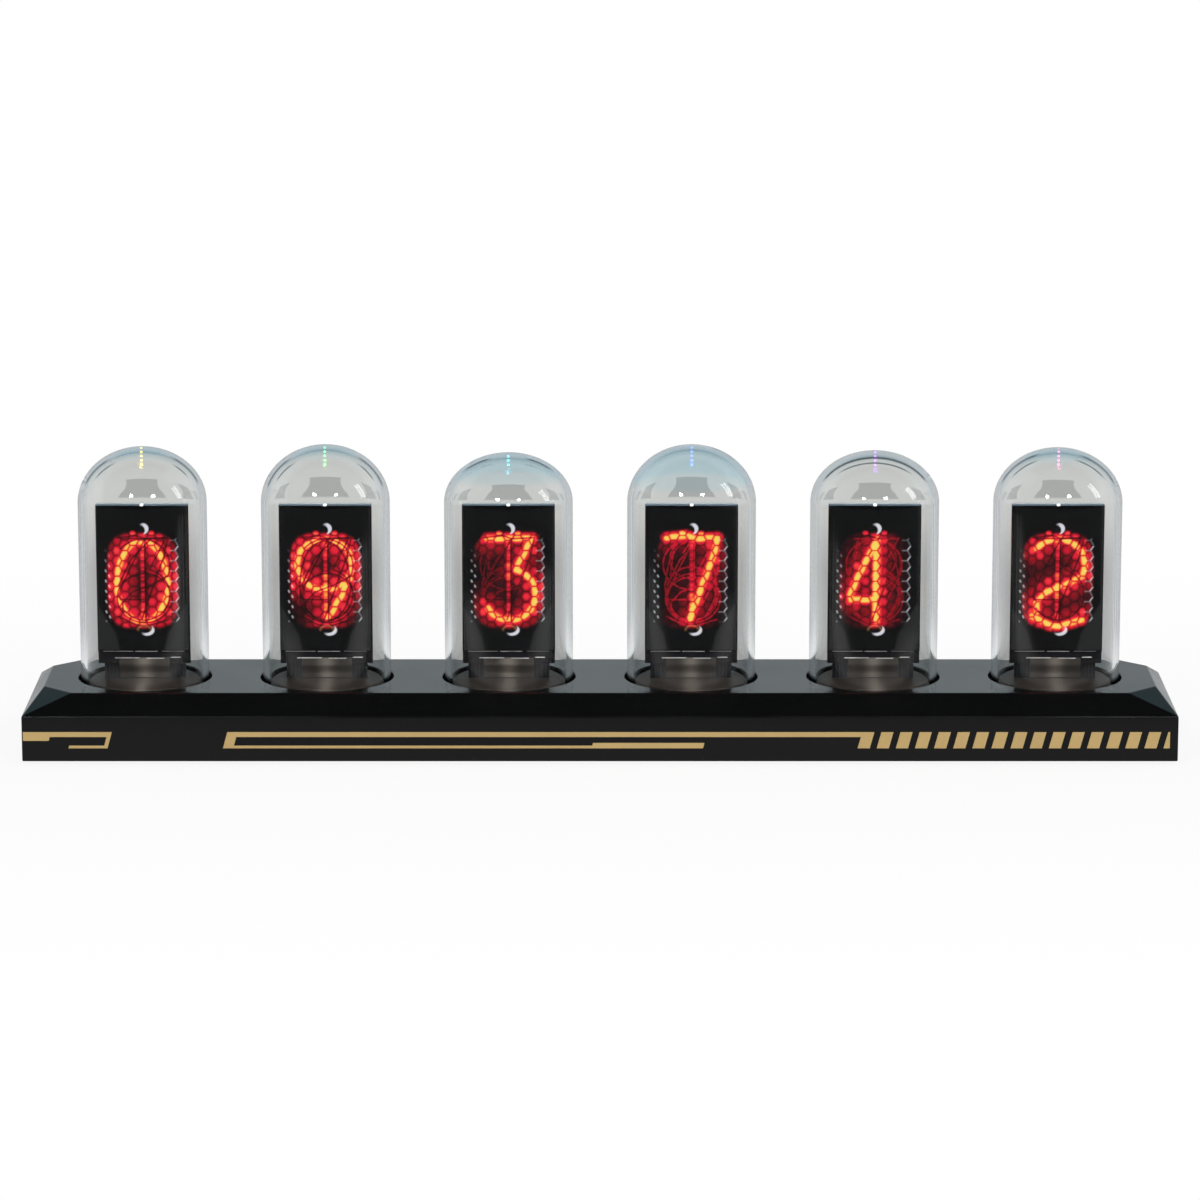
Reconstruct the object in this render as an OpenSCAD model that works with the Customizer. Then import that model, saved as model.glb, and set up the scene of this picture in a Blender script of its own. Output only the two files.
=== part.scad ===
// Desk clock with a row of picture tubes. Six small upright LCD panels, each under a
// loose glass dome, stand on a faceted black base with gold stripes along its front.
// +X is to the right seen from the front, +Y to the rear and +Z up. The origin is on
// the table, under the middle of the base. Sizes are in millimetres.

/* [Glass domes] */
// Outer diameter of a dome
dome_d = 24.6; // [23:0.1:30]
// Clear space between neighbouring domes
tube_gap = 10.4; // [9:0.1:20]
// Thickness of the glass
glass_t = 1.2; // [0.8:0.1:1.6]
// Height of the rounded crown
crown_h = 11; // [7:0.1:13]
// Straight glass above the top edge of the panel
dome_head = 0.2; // [0:0.1:6]
// Space all round between a dome and the hole in the base
dome_gap = 0.5; // [0.3:0.05:1]
// Rounding of the ground rim
rim_bevel = 0.3; // [0.1:0.05:0.4]

/* [Base] */
// From the middle of the last tube to the end of the base
end_margin = 22; // [20:0.5:40]
// From a dome to the front or rear face of the base
side_margin = 6.7; // [6.2:0.1:15]
// Height of the upright walls
side_h = 8.7; // [8.4:0.1:16]
// Height of the sloping edge above the walls
slope_h = 3.6; // [2.6:0.1:6]
// How far the edge slopes in at the two ends
slope_end = 3.4; // [1:0.1:5]
// How far the edge slopes in at the front and rear
slope_front = 4.4; // [1:0.1:5]
// Corner cut of the top face
corner_cut = 5.8; // [2:0.1:8]
// Thickness of the side walls
wall = 2; // [1.4:0.1:2.4]
// Thickness of the top plate
top_t = 2.2; // [1.4:0.1:2.4]

/* [Bottom] */
// Thickness of the bottom cover
cover_t = 1.6; // [1.4:0.1:2]
// Gap all round between the cover and the walls
cover_gap = 0.2; // [0.1:0.05:0.4]
// Diameter of a rubber foot
foot_d = 8; // [5:0.5:10]
// How far the feet stand below the cover
foot_stand = 0.8; // [0.5:0.1:3]
// Depth of a foot's recess in the cover
foot_sink = 0.4; // [0.2:0.1:0.8]
// Diameter of the posts that take the cover screws
post_d = 5.5; // [4.5:0.1:6]
// Distance of the cover posts from the walls' outer faces
post_inset = 6.2; // [5.5:0.1:8]
// Distance of the board posts from the walls' inner faces
board_post_inset = 6.5; // [5:0.1:7]
// Distance of a foot from the cover's long edges
foot_edge = 2; // [0.5:0.1:3]
// Thread diameter of the cover and board screws
screw_d = 2; // [1.6:0.1:2.4]
// Length of thread in a post
thread_l = 4; // [3:0.1:4.5]
// Height of a screw's head
head_h = 0.9; // [0.6:0.05:1]

/* [Tube sockets] */
// Depth of a dome's seat below the underside of the top plate
seat_drop = 1.2; // [0.8:0.1:2]
// Thickness of the socket under the seat
seat_t = 1.4; // [1:0.1:1.8]
// Radial width of the socket's ring outside the groove
ring_w = 1.2; // [0.8:0.1:1.4]
// Gap all round between the plinth and the glass
plinth_gap = 0.3; // [0.15:0.05:0.6]
// Depth of the plinth's face below the top plate
plinth_drop = 0.3; // [0:0.05:0.8]
// Diameter of the light hole in the plinth
light_d = 4.6; // [3:0.1:5]
// Distance of the light hole behind the tube's axis
light_y = 6; // [5.2:0.1:7]
// Diameter of the legs that stand on the main board
leg_d = 2.2; // [1.6:0.1:2.6]

/* [Displays] */
// Width of an LCD panel
panel_w = 17.6; // [14:0.1:18.4]
// Height of an LCD panel
panel_h = 31; // [24:0.1:40]
// Lower edge of the panel above the top plate
panel_lift = 2.9; // [2.5:0.1:6]
// Height of the bare glass ledge along the lower edge
ledge_h = 2.5; // [2:0.1:3.5]
// Thickness of each of the panel's two sheets
sheet_t = 0.5; // [0.3:0.05:0.7]
// Thickness of the backlight tray
tray_t = 0.9; // [0.6:0.05:1.4]
// Thickness of the upright carrier board
carrier_t = 1.2; // [0.8:0.1:1.6]
// Step of the carrier board inside the panel's outline
carrier_inset = 1; // [0.4:0.1:2]
// Width of the driver chip on the ledge
driver_w = 10.5; // [8:0.1:12]
// Height of the driver chip on the ledge
driver_h = 0.75; // [0.5:0.05:0.8]
// Width of the carrier board's plug tongue
tongue_w = 10; // [8:0.1:12]
// Width of the flex tail
flex_w = 9.6; // [6:0.1:12]
// Thickness of the flex tail
flex_t = 0.2; // [0.15:0.05:0.25]
// Height of the flex tail's bond on the ledge
flex_bond = 1.1; // [0.6:0.05:1.2]
// Height of the flex tail's solder pads on the carrier board
flex_pads = 0.7; // [0.4:0.05:0.9]

/* [Electronics] */
// Thickness of the main board
board_t = 1.2; // [1:0.1:1.6]
// Height of the main board above the bottom cover
board_lift = 1.1; // [1:0.05:1.4]
// Gap between the main board and the long walls
board_gap = 2; // [1.8:0.1:2.4]
// Length of the controller board
controller_w = 13.2; // [10:0.1:14]
// Depth of the controller board
controller_d = 16.6; // [14:0.1:20]
// Thickness of the controller board
controller_t = 0.8; // [0.6:0.1:1]
// Side of the controller's square shield
shield_w = 12; // [9:0.1:12.6]
// Height of the controller's shield
shield_h = 1.6; // [1.2:0.1:1.7]
// Length of the clock chip
clock_w = 10.3; // [5:0.1:11]
// Depth of the clock chip
clock_d = 7.5; // [4:0.1:10]
// Height of the clock chip
clock_h = 2.2; // [1.5:0.1:2.6]
// Diameter of the backup cell
cell_d = 12; // [9:0.1:12.5]
// Thickness of the backup cell
cell_t = 2; // [1.2:0.1:2.2]
// Step at the backup cell's lower edge
cell_step = 0.5; // [0.2:0.05:0.8]
// Thickness of the cell holder's rim
holder_rim = 0.9; // [0.6:0.05:1.1]
// Thickness of the cell holder's floor
holder_floor = 0.5; // [0.4:0.05:0.7]
// Side of a colour LED
led_w = 5; // [4:0.1:5.4]
// Height of a colour LED
led_h = 1.6; // [1.2:0.1:2]
// Diameter of a colour LED's lens
lens_d = 3.6; // [2.5:0.1:3.8]
// Depth of a colour LED's lens
lens_sink = 0.4; // [0.2:0.05:0.6]
// Wall of a connector round the carrier board's tongue
plug_wall = 1.3; // [1:0.1:1.4]
// Floor of a connector under the carrier board's tongue
plug_floor = 0.6; // [0.4:0.05:1]
// Width of the power inlet's shell
inlet_w = 8.94; // [8:0.01:10]
// Height of the power inlet's shell
inlet_h = 3.26; // [2.8:0.01:3.6]
// Length of the power inlet's shell
inlet_l = 7.4; // [6.5:0.1:9]
// Thickness of the power inlet's shell
inlet_wall = 0.3; // [0.2:0.02:0.4]
// Depth of the power inlet's mouth
inlet_depth = 5; // [4:0.1:6]
// Distance of the power inlet's mouth inside the rear face
inlet_set = 0.3; // [0:0.05:0.8]
// Width of the tongue in the power inlet
blade_w = 6.7; // [5.5:0.1:7]
// Thickness of the tongue in the power inlet
blade_t = 0.7; // [0.5:0.05:0.9]

/* [Keys] */
// Diameter of a rear key
key_d = 3.6; // [3:0.1:4]
// Distance between neighbouring keys
key_pitch = 8; // [7:0.1:9.5]
// How far a key stands out of the rear face
key_proud = 0.8; // [0.5:0.1:2]
// How far a key can be pressed
key_travel = 0.4; // [0.2:0.05:0.5]
// Gap all round between a key and its hole
key_gap = 0.2; // [0.1:0.05:0.4]
// Thickness of a key's flange behind the wall
key_flange_t = 0.9; // [0.6:0.05:1.2]
// How far a key's flange stands out round the key
key_flange = 0.6; // [0.5:0.05:0.8]
// Bevel of a key's outer edge
key_edge = 0.3; // [0.1:0.05:0.4]
// Width of a key's switch
switch_w = 6; // [5:0.1:6.6]
// Depth of a key's switch
switch_d = 3.4; // [3:0.1:4]
// Height of a key's switch
switch_h = 3; // [2.6:0.1:3.4]
// Diameter of a switch's plunger
plunger_d = 2; // [1.4:0.1:2.4]
// Length of the plunger inside its switch
plunger_sunk = 1.2; // [0.8:0.1:1.6]

/* [Stripes] */
// Height of the stripe band
band_h = 3.15; // [2:0.05:4]
// Lower edge of the band above the foot of the wall
band_rise = 2.6; // [1:0.1:4]
// Thickness of the band's upper line
line_t = 0.95; // [0.5:0.05:1.4]
// Thickness of the band's thin lower lines
hair_t = 0.52; // [0.3:0.02:0.8]
// Width of a leaning bar
bar_w = 2.3; // [1.5:0.05:3]
// Distance between neighbouring bars
bar_pitch = 3.62; // [3.1:0.02:4]
// How far a bar leans over the height of the band
bar_lean = 0.85; // [0:0.05:1.5]
// Thickness of the foil
foil_t = 0.1; // [0.05:0.01:0.2]
// Start of the left bracket from the end of the base
bracket_start = 0.25; // [0:0.05:1]
// Length of the left bracket
bracket_l = 16; // [12:0.1:24]
// Length of the left bracket's thick start
bracket_block_l = 4.5; // [2:0.1:6]
// Height of the left bracket's thick start
bracket_block_h = 1.7; // [1.4:0.05:2.4]
// Width of the left bracket's leaning stroke
stroke_w = 0.75; // [0.4:0.05:1.2]
// Length of the left bracket's thin foot line
bracket_hair_l = 7.4; // [4:0.1:9]
// Start of the long line from the left end of the base
line_start = 38.1; // [30:0.1:50]
// Width of the long line's leaning start
line_block_w = 1.95; // [1:0.05:3]
// Distance from the long line's start to its heavy stretch
heavy_start = 69.8; // [40:0.1:75]
// Length of the heavy stretch
heavy_l = 21.1; // [10:0.1:30]
// Thickness of the heavy stretch
heavy_t = 1.05; // [0.8:0.05:1.4]
// Width of the last cut bar
sliver_w = 1.2; // [0.9:0.05:1.5]
// End of the last cut bar from the right end of the base
stripe_end = 1.6; // [0.5:0.1:4]

/* [Hidden] */
$fn = 64;
// Hours, minutes and seconds take two digits each
tube_count = 6;
tubes = [1:tube_count];
keys = ["mode", "minus", "plus"];
bar_count = 16;
crown_steps = 18;
flex_steps = 8;
hull_fn = 32;
// Small clearance of pieces that are plugged or dropped together
slip = 0.15;
// Overshoot of cuts past the face that they open
over = 1;

// Plan of the base
tube_pitch = dome_d + tube_gap;
base_w = (tube_count - 1) * tube_pitch + 2 * end_margin;
base_d = dome_d + 2 * side_margin;
inner_y = base_d / 2 - wall;

// Radii of a tube
dome_r = dome_d / 2;
glass_r = dome_r - glass_t;
hole_r = dome_r + dome_gap;
plinth_r = glass_r - plinth_gap;
ring_r = hole_r + ring_w;
leg_r = ring_r - leg_d / 2 - slip;
leg_angle = 50;
socket_edge = 0.3;

// Hand-drawn glass: how far each crown stays below the full height, from the left
crown_short = [0.4, 0, 1.6, 0, 1.2, 0.6];

// Heights above the table
cover_top = foot_stand + cover_t;
board_z = cover_top + board_lift;
board_top = board_z + board_t;
wall_top = foot_stand + side_h;
deck_z = wall_top + slope_h;
deck_under = deck_z - top_t;
seat_z = deck_under - seat_drop;
socket_z = seat_z - seat_t;
plinth_z = deck_z - plinth_drop;
panel_z = deck_z + panel_lift;
spring_z = panel_z + panel_h + dome_head;

// Depths of the display stack, with the carrier board's front on the tube's axis
glass_back_y = -tray_t;
glass_mid_y = glass_back_y - sheet_t;

// Inside of the shell: a shoulder under the slope, and the slope's own wall
shoulder = 0.2;
slope_wall = 1.25 * wall;
slope_left = (slope_h - top_t) / slope_h;

// Screws, with the same head under the main board and sunk in the cover
head_d = 1.8 * screw_d;
pilot_d = screw_d + 2 * slip;

// Posts that take the screws, as places in plan
post_x = base_w / 2 - post_inset;
post_y = base_d / 2 - post_inset;
board_post_y = inner_y - board_post_inset;
foot_x = post_x - foot_d;
foot_y = inner_y - cover_gap - foot_edge - foot_d / 2;
board_w = 2 * (post_x - post_d / 2 - slip);
board_d = 2 * (inner_y - board_gap);
cover_posts = [for (x = [-1, 1], y = [-1, 1]) [x * post_x, y * post_y]];
board_posts = concat(
  [for (k = [2, 4], y = [-1, 1]) [gap_x(k), y * board_post_y]],
  [for (k = [1, 5]) [gap_x(k), -board_post_y]]
);

// Keys, switches and the power inlet along the rear wall
switch_y = board_d / 2 - switch_d;
key_z = board_top + switch_h / 2;
key_back_y = inner_y - key_flange_t;
key_l = key_flange_t + wall + key_proud;
inlet_y = base_d / 2 - inlet_set;
inlet_z = board_top + inlet_h / 2;

// Connectors under the sockets, round the carrier boards' tongues
plug_w = tongue_w + 2 * (slip + plug_wall);
plug_d = carrier_t + 2 * (slip + plug_wall);
plug_h = socket_z - board_top - 2 * slip;

// Small parts on the rear of a carrier board: size, and place from the panel's lower edge
board_parts = [
  [[2.9, 1.1, 1.4], [0, 4]],
  [[1.25, 0.8, 2], [-4, 4]],
  [[1.25, 0.8, 2], [4, 4]],
  [[4.9, 1.2, 3.9], [0, 9]]
];

// Middle of tube i along the row, and middle of the space after tube k
function tube_x(i) = (i - (tube_count + 1) / 2) * tube_pitch;
function gap_x(k) = (k - tube_count / 2) * tube_pitch;
function key_x(k) = gap_x(1) + (k - 1) * key_pitch;

// Quarter of an ellipse from its side to its top, short of the axis
function arch(r, h) =
  [for (k = [0:crown_steps - 1]) [r * cos(90 * k / crown_steps), h * sin(90 * k / crown_steps)]];
function raised(points, z) = [for (p = points) [p[0], p[1] + z]];
function backwards(points) = [for (k = [len(points) - 1:-1:0]) points[k]];

// Block with upright walls and a sloping edge up to a top face with cut corners
module faceted_block(w, d, walls, slope, run_end, run_front, cut) {
  x = w / 2 - run_end;
  y = d / 2 - run_front;
  hull() {
    translate([-w / 2, -d / 2, 0])
      cube([w, d, walls]);
    linear_extrude(walls + slope)
      polygon([
        [x, y - cut], [x - cut, y], [cut - x, y], [-x, y - cut],
        [-x, cut - y], [cut - x, -y], [x - cut, -y], [x, cut - y]
      ]);
  }
}

// Plate standing in the row's plane, with its outline in X and Z and its rear face at y
module upright(y, t) {
  translate([0, y, 0])
    rotate([90, 0, 0])
      linear_extrude(t)
        children();
}

// Box by its middle in X, its nearest Y and its lowest Z
module block(x, y, z, size) {
  translate([x - size[0] / 2, y, z])
    cube(size);
}

// Round piece along +Y from its profile of radius and length
module turned_y(x, y, z, profile) {
  translate([x, y, z])
    rotate([-90, 0, 0])
      rotate_extrude()
        polygon(profile);
}

// Outline of the power inlet, widened all round
module inlet_outline(extra) {
  hull_r = inlet_h / 2 + extra;
  hull() {
    for (s = [-1, 1])
      translate([s * (inlet_w - inlet_h) / 2, 0])
        circle(hull_r, $fn = hull_fn);
  }
}

// Prism of the inlet's outline, running l to the front from y
module inlet_prism(y, l, extra) {
  translate([gap_x(5), y, inlet_z])
    rotate([90, 0, 0])
      linear_extrude(l)
        inlet_outline(extra);
}

module upper_housing() {
  color("#17181a")
    difference() {
      union() {
        difference() {
          translate([0, 0, foot_stand])
            faceted_block(base_w, base_d, side_h, slope_h, slope_end, slope_front, corner_cut);
          shell_inside();
        }
        for (p = cover_posts)
          translate([p[0], p[1], cover_top])
            cylinder(d = post_d, h = deck_under - cover_top);
        for (p = board_posts)
          translate([p[0], p[1], board_top])
            cylinder(d = post_d, h = deck_under - board_top);
      }
      for (i = tubes)
        translate([tube_x(i), 0, deck_under - over])
          cylinder(r = hole_r, h = top_t + 2 * over);
      for (p = cover_posts)
        translate([p[0], p[1], cover_top - over])
          cylinder(d = pilot_d, h = thread_l + 2 * over);
      for (p = board_posts)
        translate([p[0], p[1], board_top - over])
          cylinder(d = pilot_d, h = thread_l + 2 * over);
      for (k = [0:len(keys) - 1])
        translate([key_x(k), inner_y - over, key_z])
          rotate([-90, 0, 0])
            cylinder(d = key_d + 2 * key_gap, h = wall + 2 * over);
      inlet_prism(base_d / 2 + over, wall + 2 * over, slip);
    }
}

// Space inside the shell, open at the bottom
module shell_inside() {
  translate([0, 0, foot_stand - over])
    faceted_block(
      base_w - 2 * wall, base_d - 2 * wall,
      side_h + over - shoulder, slope_h + shoulder - top_t,
      slope_end * slope_left + slope_wall - wall,
      slope_front * slope_left + slope_wall - wall,
      corner_cut * slope_left + slope_wall - wall
    );
}

module bottom_cover() {
  color("#202124")
    difference() {
      translate([0, 0, foot_stand])
        linear_extrude(cover_t)
          square([base_w - 2 * (wall + cover_gap), base_d - 2 * (wall + cover_gap)], center = true);
      for (p = cover_posts)
        translate([p[0], p[1], foot_stand - over]) {
          cylinder(d = pilot_d, h = cover_t + 2 * over);
          cylinder(d = head_d + 2 * slip, h = head_h + over);
        }
      feet_places()
        translate([0, 0, foot_stand - over])
          cylinder(d = foot_d + 2 * slip, h = foot_sink + over);
    }
}

// Copies a child to the four feet, inside the cover screws
module feet_places() {
  for (x = [-1, 1], y = [-1, 1])
    translate([x * foot_x, y * foot_y, 0])
      children();
}

module rubber_feet() {
  edge = foot_stand / 4;
  color("#2b2b2d")
    feet_places()
      rotate_extrude()
        polygon([
          [0, 0], [foot_d / 2 - edge, 0], [foot_d / 2, edge],
          [foot_d / 2, foot_stand + foot_sink], [0, foot_stand + foot_sink]
        ]);
}

// Screw pointing up, with the top of its head at z and a cross cut in the head
module screw(z, below) {
  slot_l = 0.6 * head_d;
  slot_w = 0.2 * head_d;
  difference() {
    union() {
      translate([0, 0, z])
        cylinder(d = head_d, h = head_h);
      translate([0, 0, z])
        cylinder(d = screw_d, h = head_h + below + thread_l);
    }
    for (a = [0, 90])
      rotate(a)
        translate([-slot_l / 2, -slot_w / 2, z - over])
          cube([slot_l, slot_w, head_h / 2 + over]);
  }
}

module cover_screws() {
  color("#b4b7bb")
    for (p = cover_posts)
      translate([p[0], p[1], 0])
        screw(foot_stand, cover_t - head_h);
}

module board_screws() {
  color("#b4b7bb")
    for (p = board_posts)
      translate([p[0], p[1], 0])
        screw(board_z - head_h, board_t);
}

module main_board() {
  color("#16261d")
    difference() {
      block(0, -board_d / 2, board_z, [board_w, board_d, board_t]);
      for (p = board_posts)
        translate([p[0], p[1], board_z - over])
          cylinder(d = pilot_d, h = board_t + 2 * over);
    }
}

module processor_board() {
  color("#1a1d22")
    block(gap_x(3), -controller_d / 2, board_top, [controller_w, controller_d, controller_t]);
}

module processor_shield() {
  inset = (controller_w - shield_w) / 2;
  color("#c3c6c9")
    block(gap_x(3), inset - controller_d / 2, board_top + controller_t, [shield_w, shield_w, shield_h]);
}

module clock_chip() {
  color("#1d1d1f")
    block(gap_x(4), -clock_d / 2, board_top, [clock_w, clock_d, clock_h]);
}

// Round pan with a gap in its rim, where the cell is pushed out
module cell_holder() {
  color("#d9d6cc")
    translate([gap_x(2), 0, board_top])
      difference() {
        cylinder(d = cell_d + 2 * (holder_rim + slip), h = holder_floor + cell_t);
        translate([0, 0, holder_floor])
          cylinder(d = cell_d + 2 * slip, h = cell_t + over);
        block(0, cell_d / 4, holder_floor, [cell_d / 2, cell_d, cell_t + over]);
      }
}

module backup_cell() {
  color("#cfd2d4")
    translate([gap_x(2), 0, board_top + holder_floor])
      rotate_extrude()
        polygon([
          [0, 0], [cell_d / 2 - cell_step, 0], [cell_d / 2, cell_step],
          [cell_d / 2, cell_t], [0, cell_t]
        ]);
}

module usb_shell() {
  color("#b9bcc0")
    difference() {
      inlet_prism(inlet_y, inlet_l, 0);
      inlet_prism(inlet_y + over, inlet_l + 2 * over, -inlet_wall);
    }
}

// Plug of the shell's inner end, with the tongue that stands in the mouth
module usb_tongue() {
  y = inlet_y - inlet_depth;
  color("#1c1c1e") {
    inlet_prism(y, inlet_l - inlet_depth, -inlet_wall);
    block(gap_x(5), y - over, inlet_z - blade_t / 2, [blade_w, inlet_depth, blade_t]);
  }
}

module switch_bodies() {
  bore = plunger_sunk + key_travel + slip;
  color("#26272a")
    for (k = [0:len(keys) - 1])
      difference() {
        block(key_x(k), switch_y, board_top, [switch_w, switch_d, switch_h]);
        translate([key_x(k), board_d / 2 - bore, key_z])
          rotate([-90, 0, 0])
            cylinder(d = plunger_d + 2 * slip, h = bore + over);
      }
}

module key_plunger(k) {
  color("#d8d8d6")
    translate([key_x(k), board_d / 2 - plunger_sunk, key_z])
      rotate([-90, 0, 0])
        cylinder(d = plunger_d, h = key_back_y - board_d / 2 + plunger_sunk);
}

module key_button(k) {
  r = key_d / 2;
  color("#1b1c1e")
    turned_y(key_x(k), key_back_y, key_z, [
      [0, 0], [r + key_flange, 0], [r + key_flange, key_flange_t],
      [r, key_flange_t], [r, key_l - key_edge],
      [r - key_edge, key_l], [0, key_l]
    ]);
}

module glow_leds() {
  color("#f2efe6")
    for (i = tubes)
      difference() {
        block(tube_x(i), light_y - led_w / 2, board_top, [led_w, led_w, led_h]);
        translate([tube_x(i), light_y, board_top + led_h - lens_sink])
          cylinder(d = lens_d, h = lens_sink + over);
      }
}

module display_connectors() {
  color("#1c1c1e")
    for (i = tubes)
      difference() {
        block(tube_x(i), carrier_t / 2 - plug_d / 2, board_top, [plug_w, plug_d, plug_h]);
        block(tube_x(i), -slip, board_top + plug_floor, [tongue_w + 2 * slip, carrier_t + 2 * slip, plug_h]);
      }
}

// Small parts soldered on the rear of each carrier board
module display_parts() {
  color("#3a3733")
    for (i = tubes, part = board_parts)
      block(tube_x(i) + part[1][0], carrier_t, panel_z + part[1][1], part[0]);
}

// Ring, groove and plinth in one, on four legs, with a slot for the carrier board
module tube_socket(i) {
  color("#3a332d")
    translate([tube_x(i), 0, 0])
      difference() {
        union() {
          rotate_extrude()
            polygon([
              [0, socket_z], [ring_r, socket_z], [ring_r, deck_under], [hole_r, deck_under],
              [hole_r, seat_z], [plinth_r, seat_z], [plinth_r, plinth_z - socket_edge],
              [plinth_r - socket_edge, plinth_z], [0, plinth_z]
            ]);
          for (a = [leg_angle, 180 - leg_angle, 180 + leg_angle, -leg_angle])
            rotate(a)
              translate([leg_r, 0, board_top])
                cylinder(d = leg_d, h = socket_z - board_top + seat_t / 2);
        }
        block(0, -slip, socket_z - over, [tongue_w + 2 * slip, carrier_t + 2 * slip, plinth_z]);
        translate([0, light_y, socket_z - over])
          cylinder(d = light_d, h = plinth_z);
      }
}

// Carrier board: its shoulders sit on the plinth and its tongue goes into the connector
module display_board(i) {
  x = panel_w / 2 - carrier_inset;
  tip = board_top + plug_floor + slip;
  top = panel_z + panel_h - carrier_inset;
  color("#14171b")
    translate([tube_x(i), 0, 0])
      upright(carrier_t, carrier_t)
        polygon([
          [-tongue_w / 2, tip], [tongue_w / 2, tip], [tongue_w / 2, plinth_z], [x, plinth_z],
          [x, top], [-x, top], [-x, plinth_z], [-tongue_w / 2, plinth_z]
        ]);
}

// Tray with cut lower corners, glued to the carrier board
module lcd_backlight(i) {
  x = panel_w / 2;
  cut = ledge_h / 4;
  color("#e8e8e4")
    translate([tube_x(i), 0, 0])
      upright(0, tray_t)
        polygon([
          [cut - x, panel_z], [x - cut, panel_z], [x, panel_z + cut],
          [x, panel_z + panel_h], [-x, panel_z + panel_h], [-x, panel_z + cut]
        ]);
}

// Two glass sheets, the front one shorter, with the driver chip on the bare ledge
module lcd_panel(i) {
  color("#0b0b0d")
    translate([tube_x(i), 0, 0]) {
      upright(glass_back_y, sheet_t)
        translate([-panel_w / 2, panel_z])
          square([panel_w, panel_h]);
      upright(glass_mid_y, sheet_t)
        translate([-panel_w / 2, panel_z + ledge_h])
          square([panel_w, panel_h - ledge_h]);
      upright(glass_mid_y, sheet_t / 2)
        translate([-driver_w / 2, panel_z + flex_bond + slip])
          square([driver_w, driver_h]);
    }
}

// Flex tail: bonded to the ledge, bent back under the panel and soldered to the carrier board
module display_flex(i) {
  pads_z = plinth_z + slip;
  drop = panel_z - pads_z - flex_pads;
  bend = [
    for (k = [0:flex_steps])
      [glass_mid_y * (1 + cos(180 * k / flex_steps)) / 2, panel_z - drop * k / flex_steps]
  ];
  path = concat([[glass_mid_y, panel_z + flex_bond]], bend, [[0, pads_z]]);
  color("#6b4a33")
    translate([tube_x(i) - flex_w / 2, 0, 0])
      rotate([90, 0, 90])
        linear_extrude(flex_w)
          polygon(concat(path, [for (p = backwards(path)) [p[0] - flex_t, p[1]]]));
}

// Closed wall of even thickness, from the bevelled rim in the groove up to the crown
module glass_dome(i) {
  rise = crown_h - crown_short[i - 1];
  color("#cfd8dc", 0.35)
    translate([tube_x(i), 0, 0])
      rotate_extrude()
        polygon(concat(
          [[glass_r, seat_z + rim_bevel], [glass_r + rim_bevel, seat_z]],
          [[dome_r - rim_bevel, seat_z], [dome_r, seat_z + rim_bevel]],
          raised(arch(dome_r, rise), spring_z),
          [[0, spring_z + rise], [0, spring_z + rise - glass_t]],
          backwards(raised(arch(glass_r, rise - glass_t), spring_z))
        ));
}

// Leaning strip between two heights, with its foot measured along the band's lower edge
module strip(x0, x1, z0, z1) {
  lean = bar_lean / band_h;
  polygon([[x0 + lean * z0, z0], [x1 + lean * z0, z0], [x1 + lean * z1, z1], [x0 + lean * z1, z1]]);
}

// Bracket at the left end: a line that starts thick, a leaning stroke and a thin foot line
module left_bracket(x0) {
  foot = x0 + bracket_l;
  intersection() {
    union() {
      strip(x0 - bar_lean, foot, band_h - line_t, band_h);
      strip(x0 - bar_lean, x0 + bracket_block_l, band_h - bracket_block_h, band_h);
    }
    translate([x0, 0])
      square([2 * bracket_l, band_h]);
  }
  strip(foot - stroke_w, foot, 0, band_h);
  strip(foot - bracket_hair_l, foot, 0, hair_t);
}

// Long line to the right: a thick leaning start, a foot line with a heavy stretch, and the first bar
module long_line(x0, x1) {
  heavy_x = x0 + heavy_start;
  strip(x0, x0 + line_block_w, 0, band_h);
  strip(x0, x1 + bar_w, band_h - line_t, band_h);
  strip(x0, heavy_x, 0, hair_t);
  strip(heavy_x, heavy_x + heavy_l, 0, heavy_t);
  strip(x1, x1 + bar_w, 0, band_h);
}

module front_stripes() {
  right_end = base_w / 2 - stripe_end;
  bars_start = right_end - sliver_w - bar_count * bar_pitch;
  color("#c4a46a")
    translate([0, -base_d / 2, foot_stand + band_rise])
      upright(0, foil_t) {
        left_bracket(bracket_start - base_w / 2);
        long_line(line_start - base_w / 2, bars_start);
        for (k = [1:bar_count - 1])
          strip(bars_start + k * bar_pitch, bars_start + k * bar_pitch + bar_w, 0, band_h);
        intersection() {
          strip(right_end - sliver_w, right_end - sliver_w + bar_w, 0, band_h);
          square([right_end, band_h]);
        }
      }
}

upper_housing();
front_stripes();
bottom_cover();
rubber_feet();
cover_screws();
main_board();
board_screws();
processor_board();
processor_shield();
clock_chip();
cell_holder();
backup_cell();
usb_shell();
usb_tongue();
switch_bodies();
glow_leds();
display_connectors();
display_parts();
for (k = [0:len(keys) - 1]) {
  key_button(k);
  key_plunger(k);
}
for (i = tubes) {
  tube_socket(i);
  display_board(i);
  lcd_backlight(i);
  lcd_panel(i);
  display_flex(i);
  glass_dome(i);
}
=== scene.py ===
"""Looks of the picture-tube desk clock: finishes, glass, lit panels, light and camera.

Everything is in metres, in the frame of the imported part: +X to the right seen from the front,
+Y to the rear and +Z up, with the origin on the table under the middle of the base.
"""

from __future__ import annotations

import logging
import math
from collections.abc import Callable, Iterator, Sequence
from contextlib import contextmanager
from dataclasses import dataclass, replace
from enum import Enum
from typing import Any

import bmesh
import bpy
import numpy as np
from mathutils import Matrix, Vector


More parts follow.
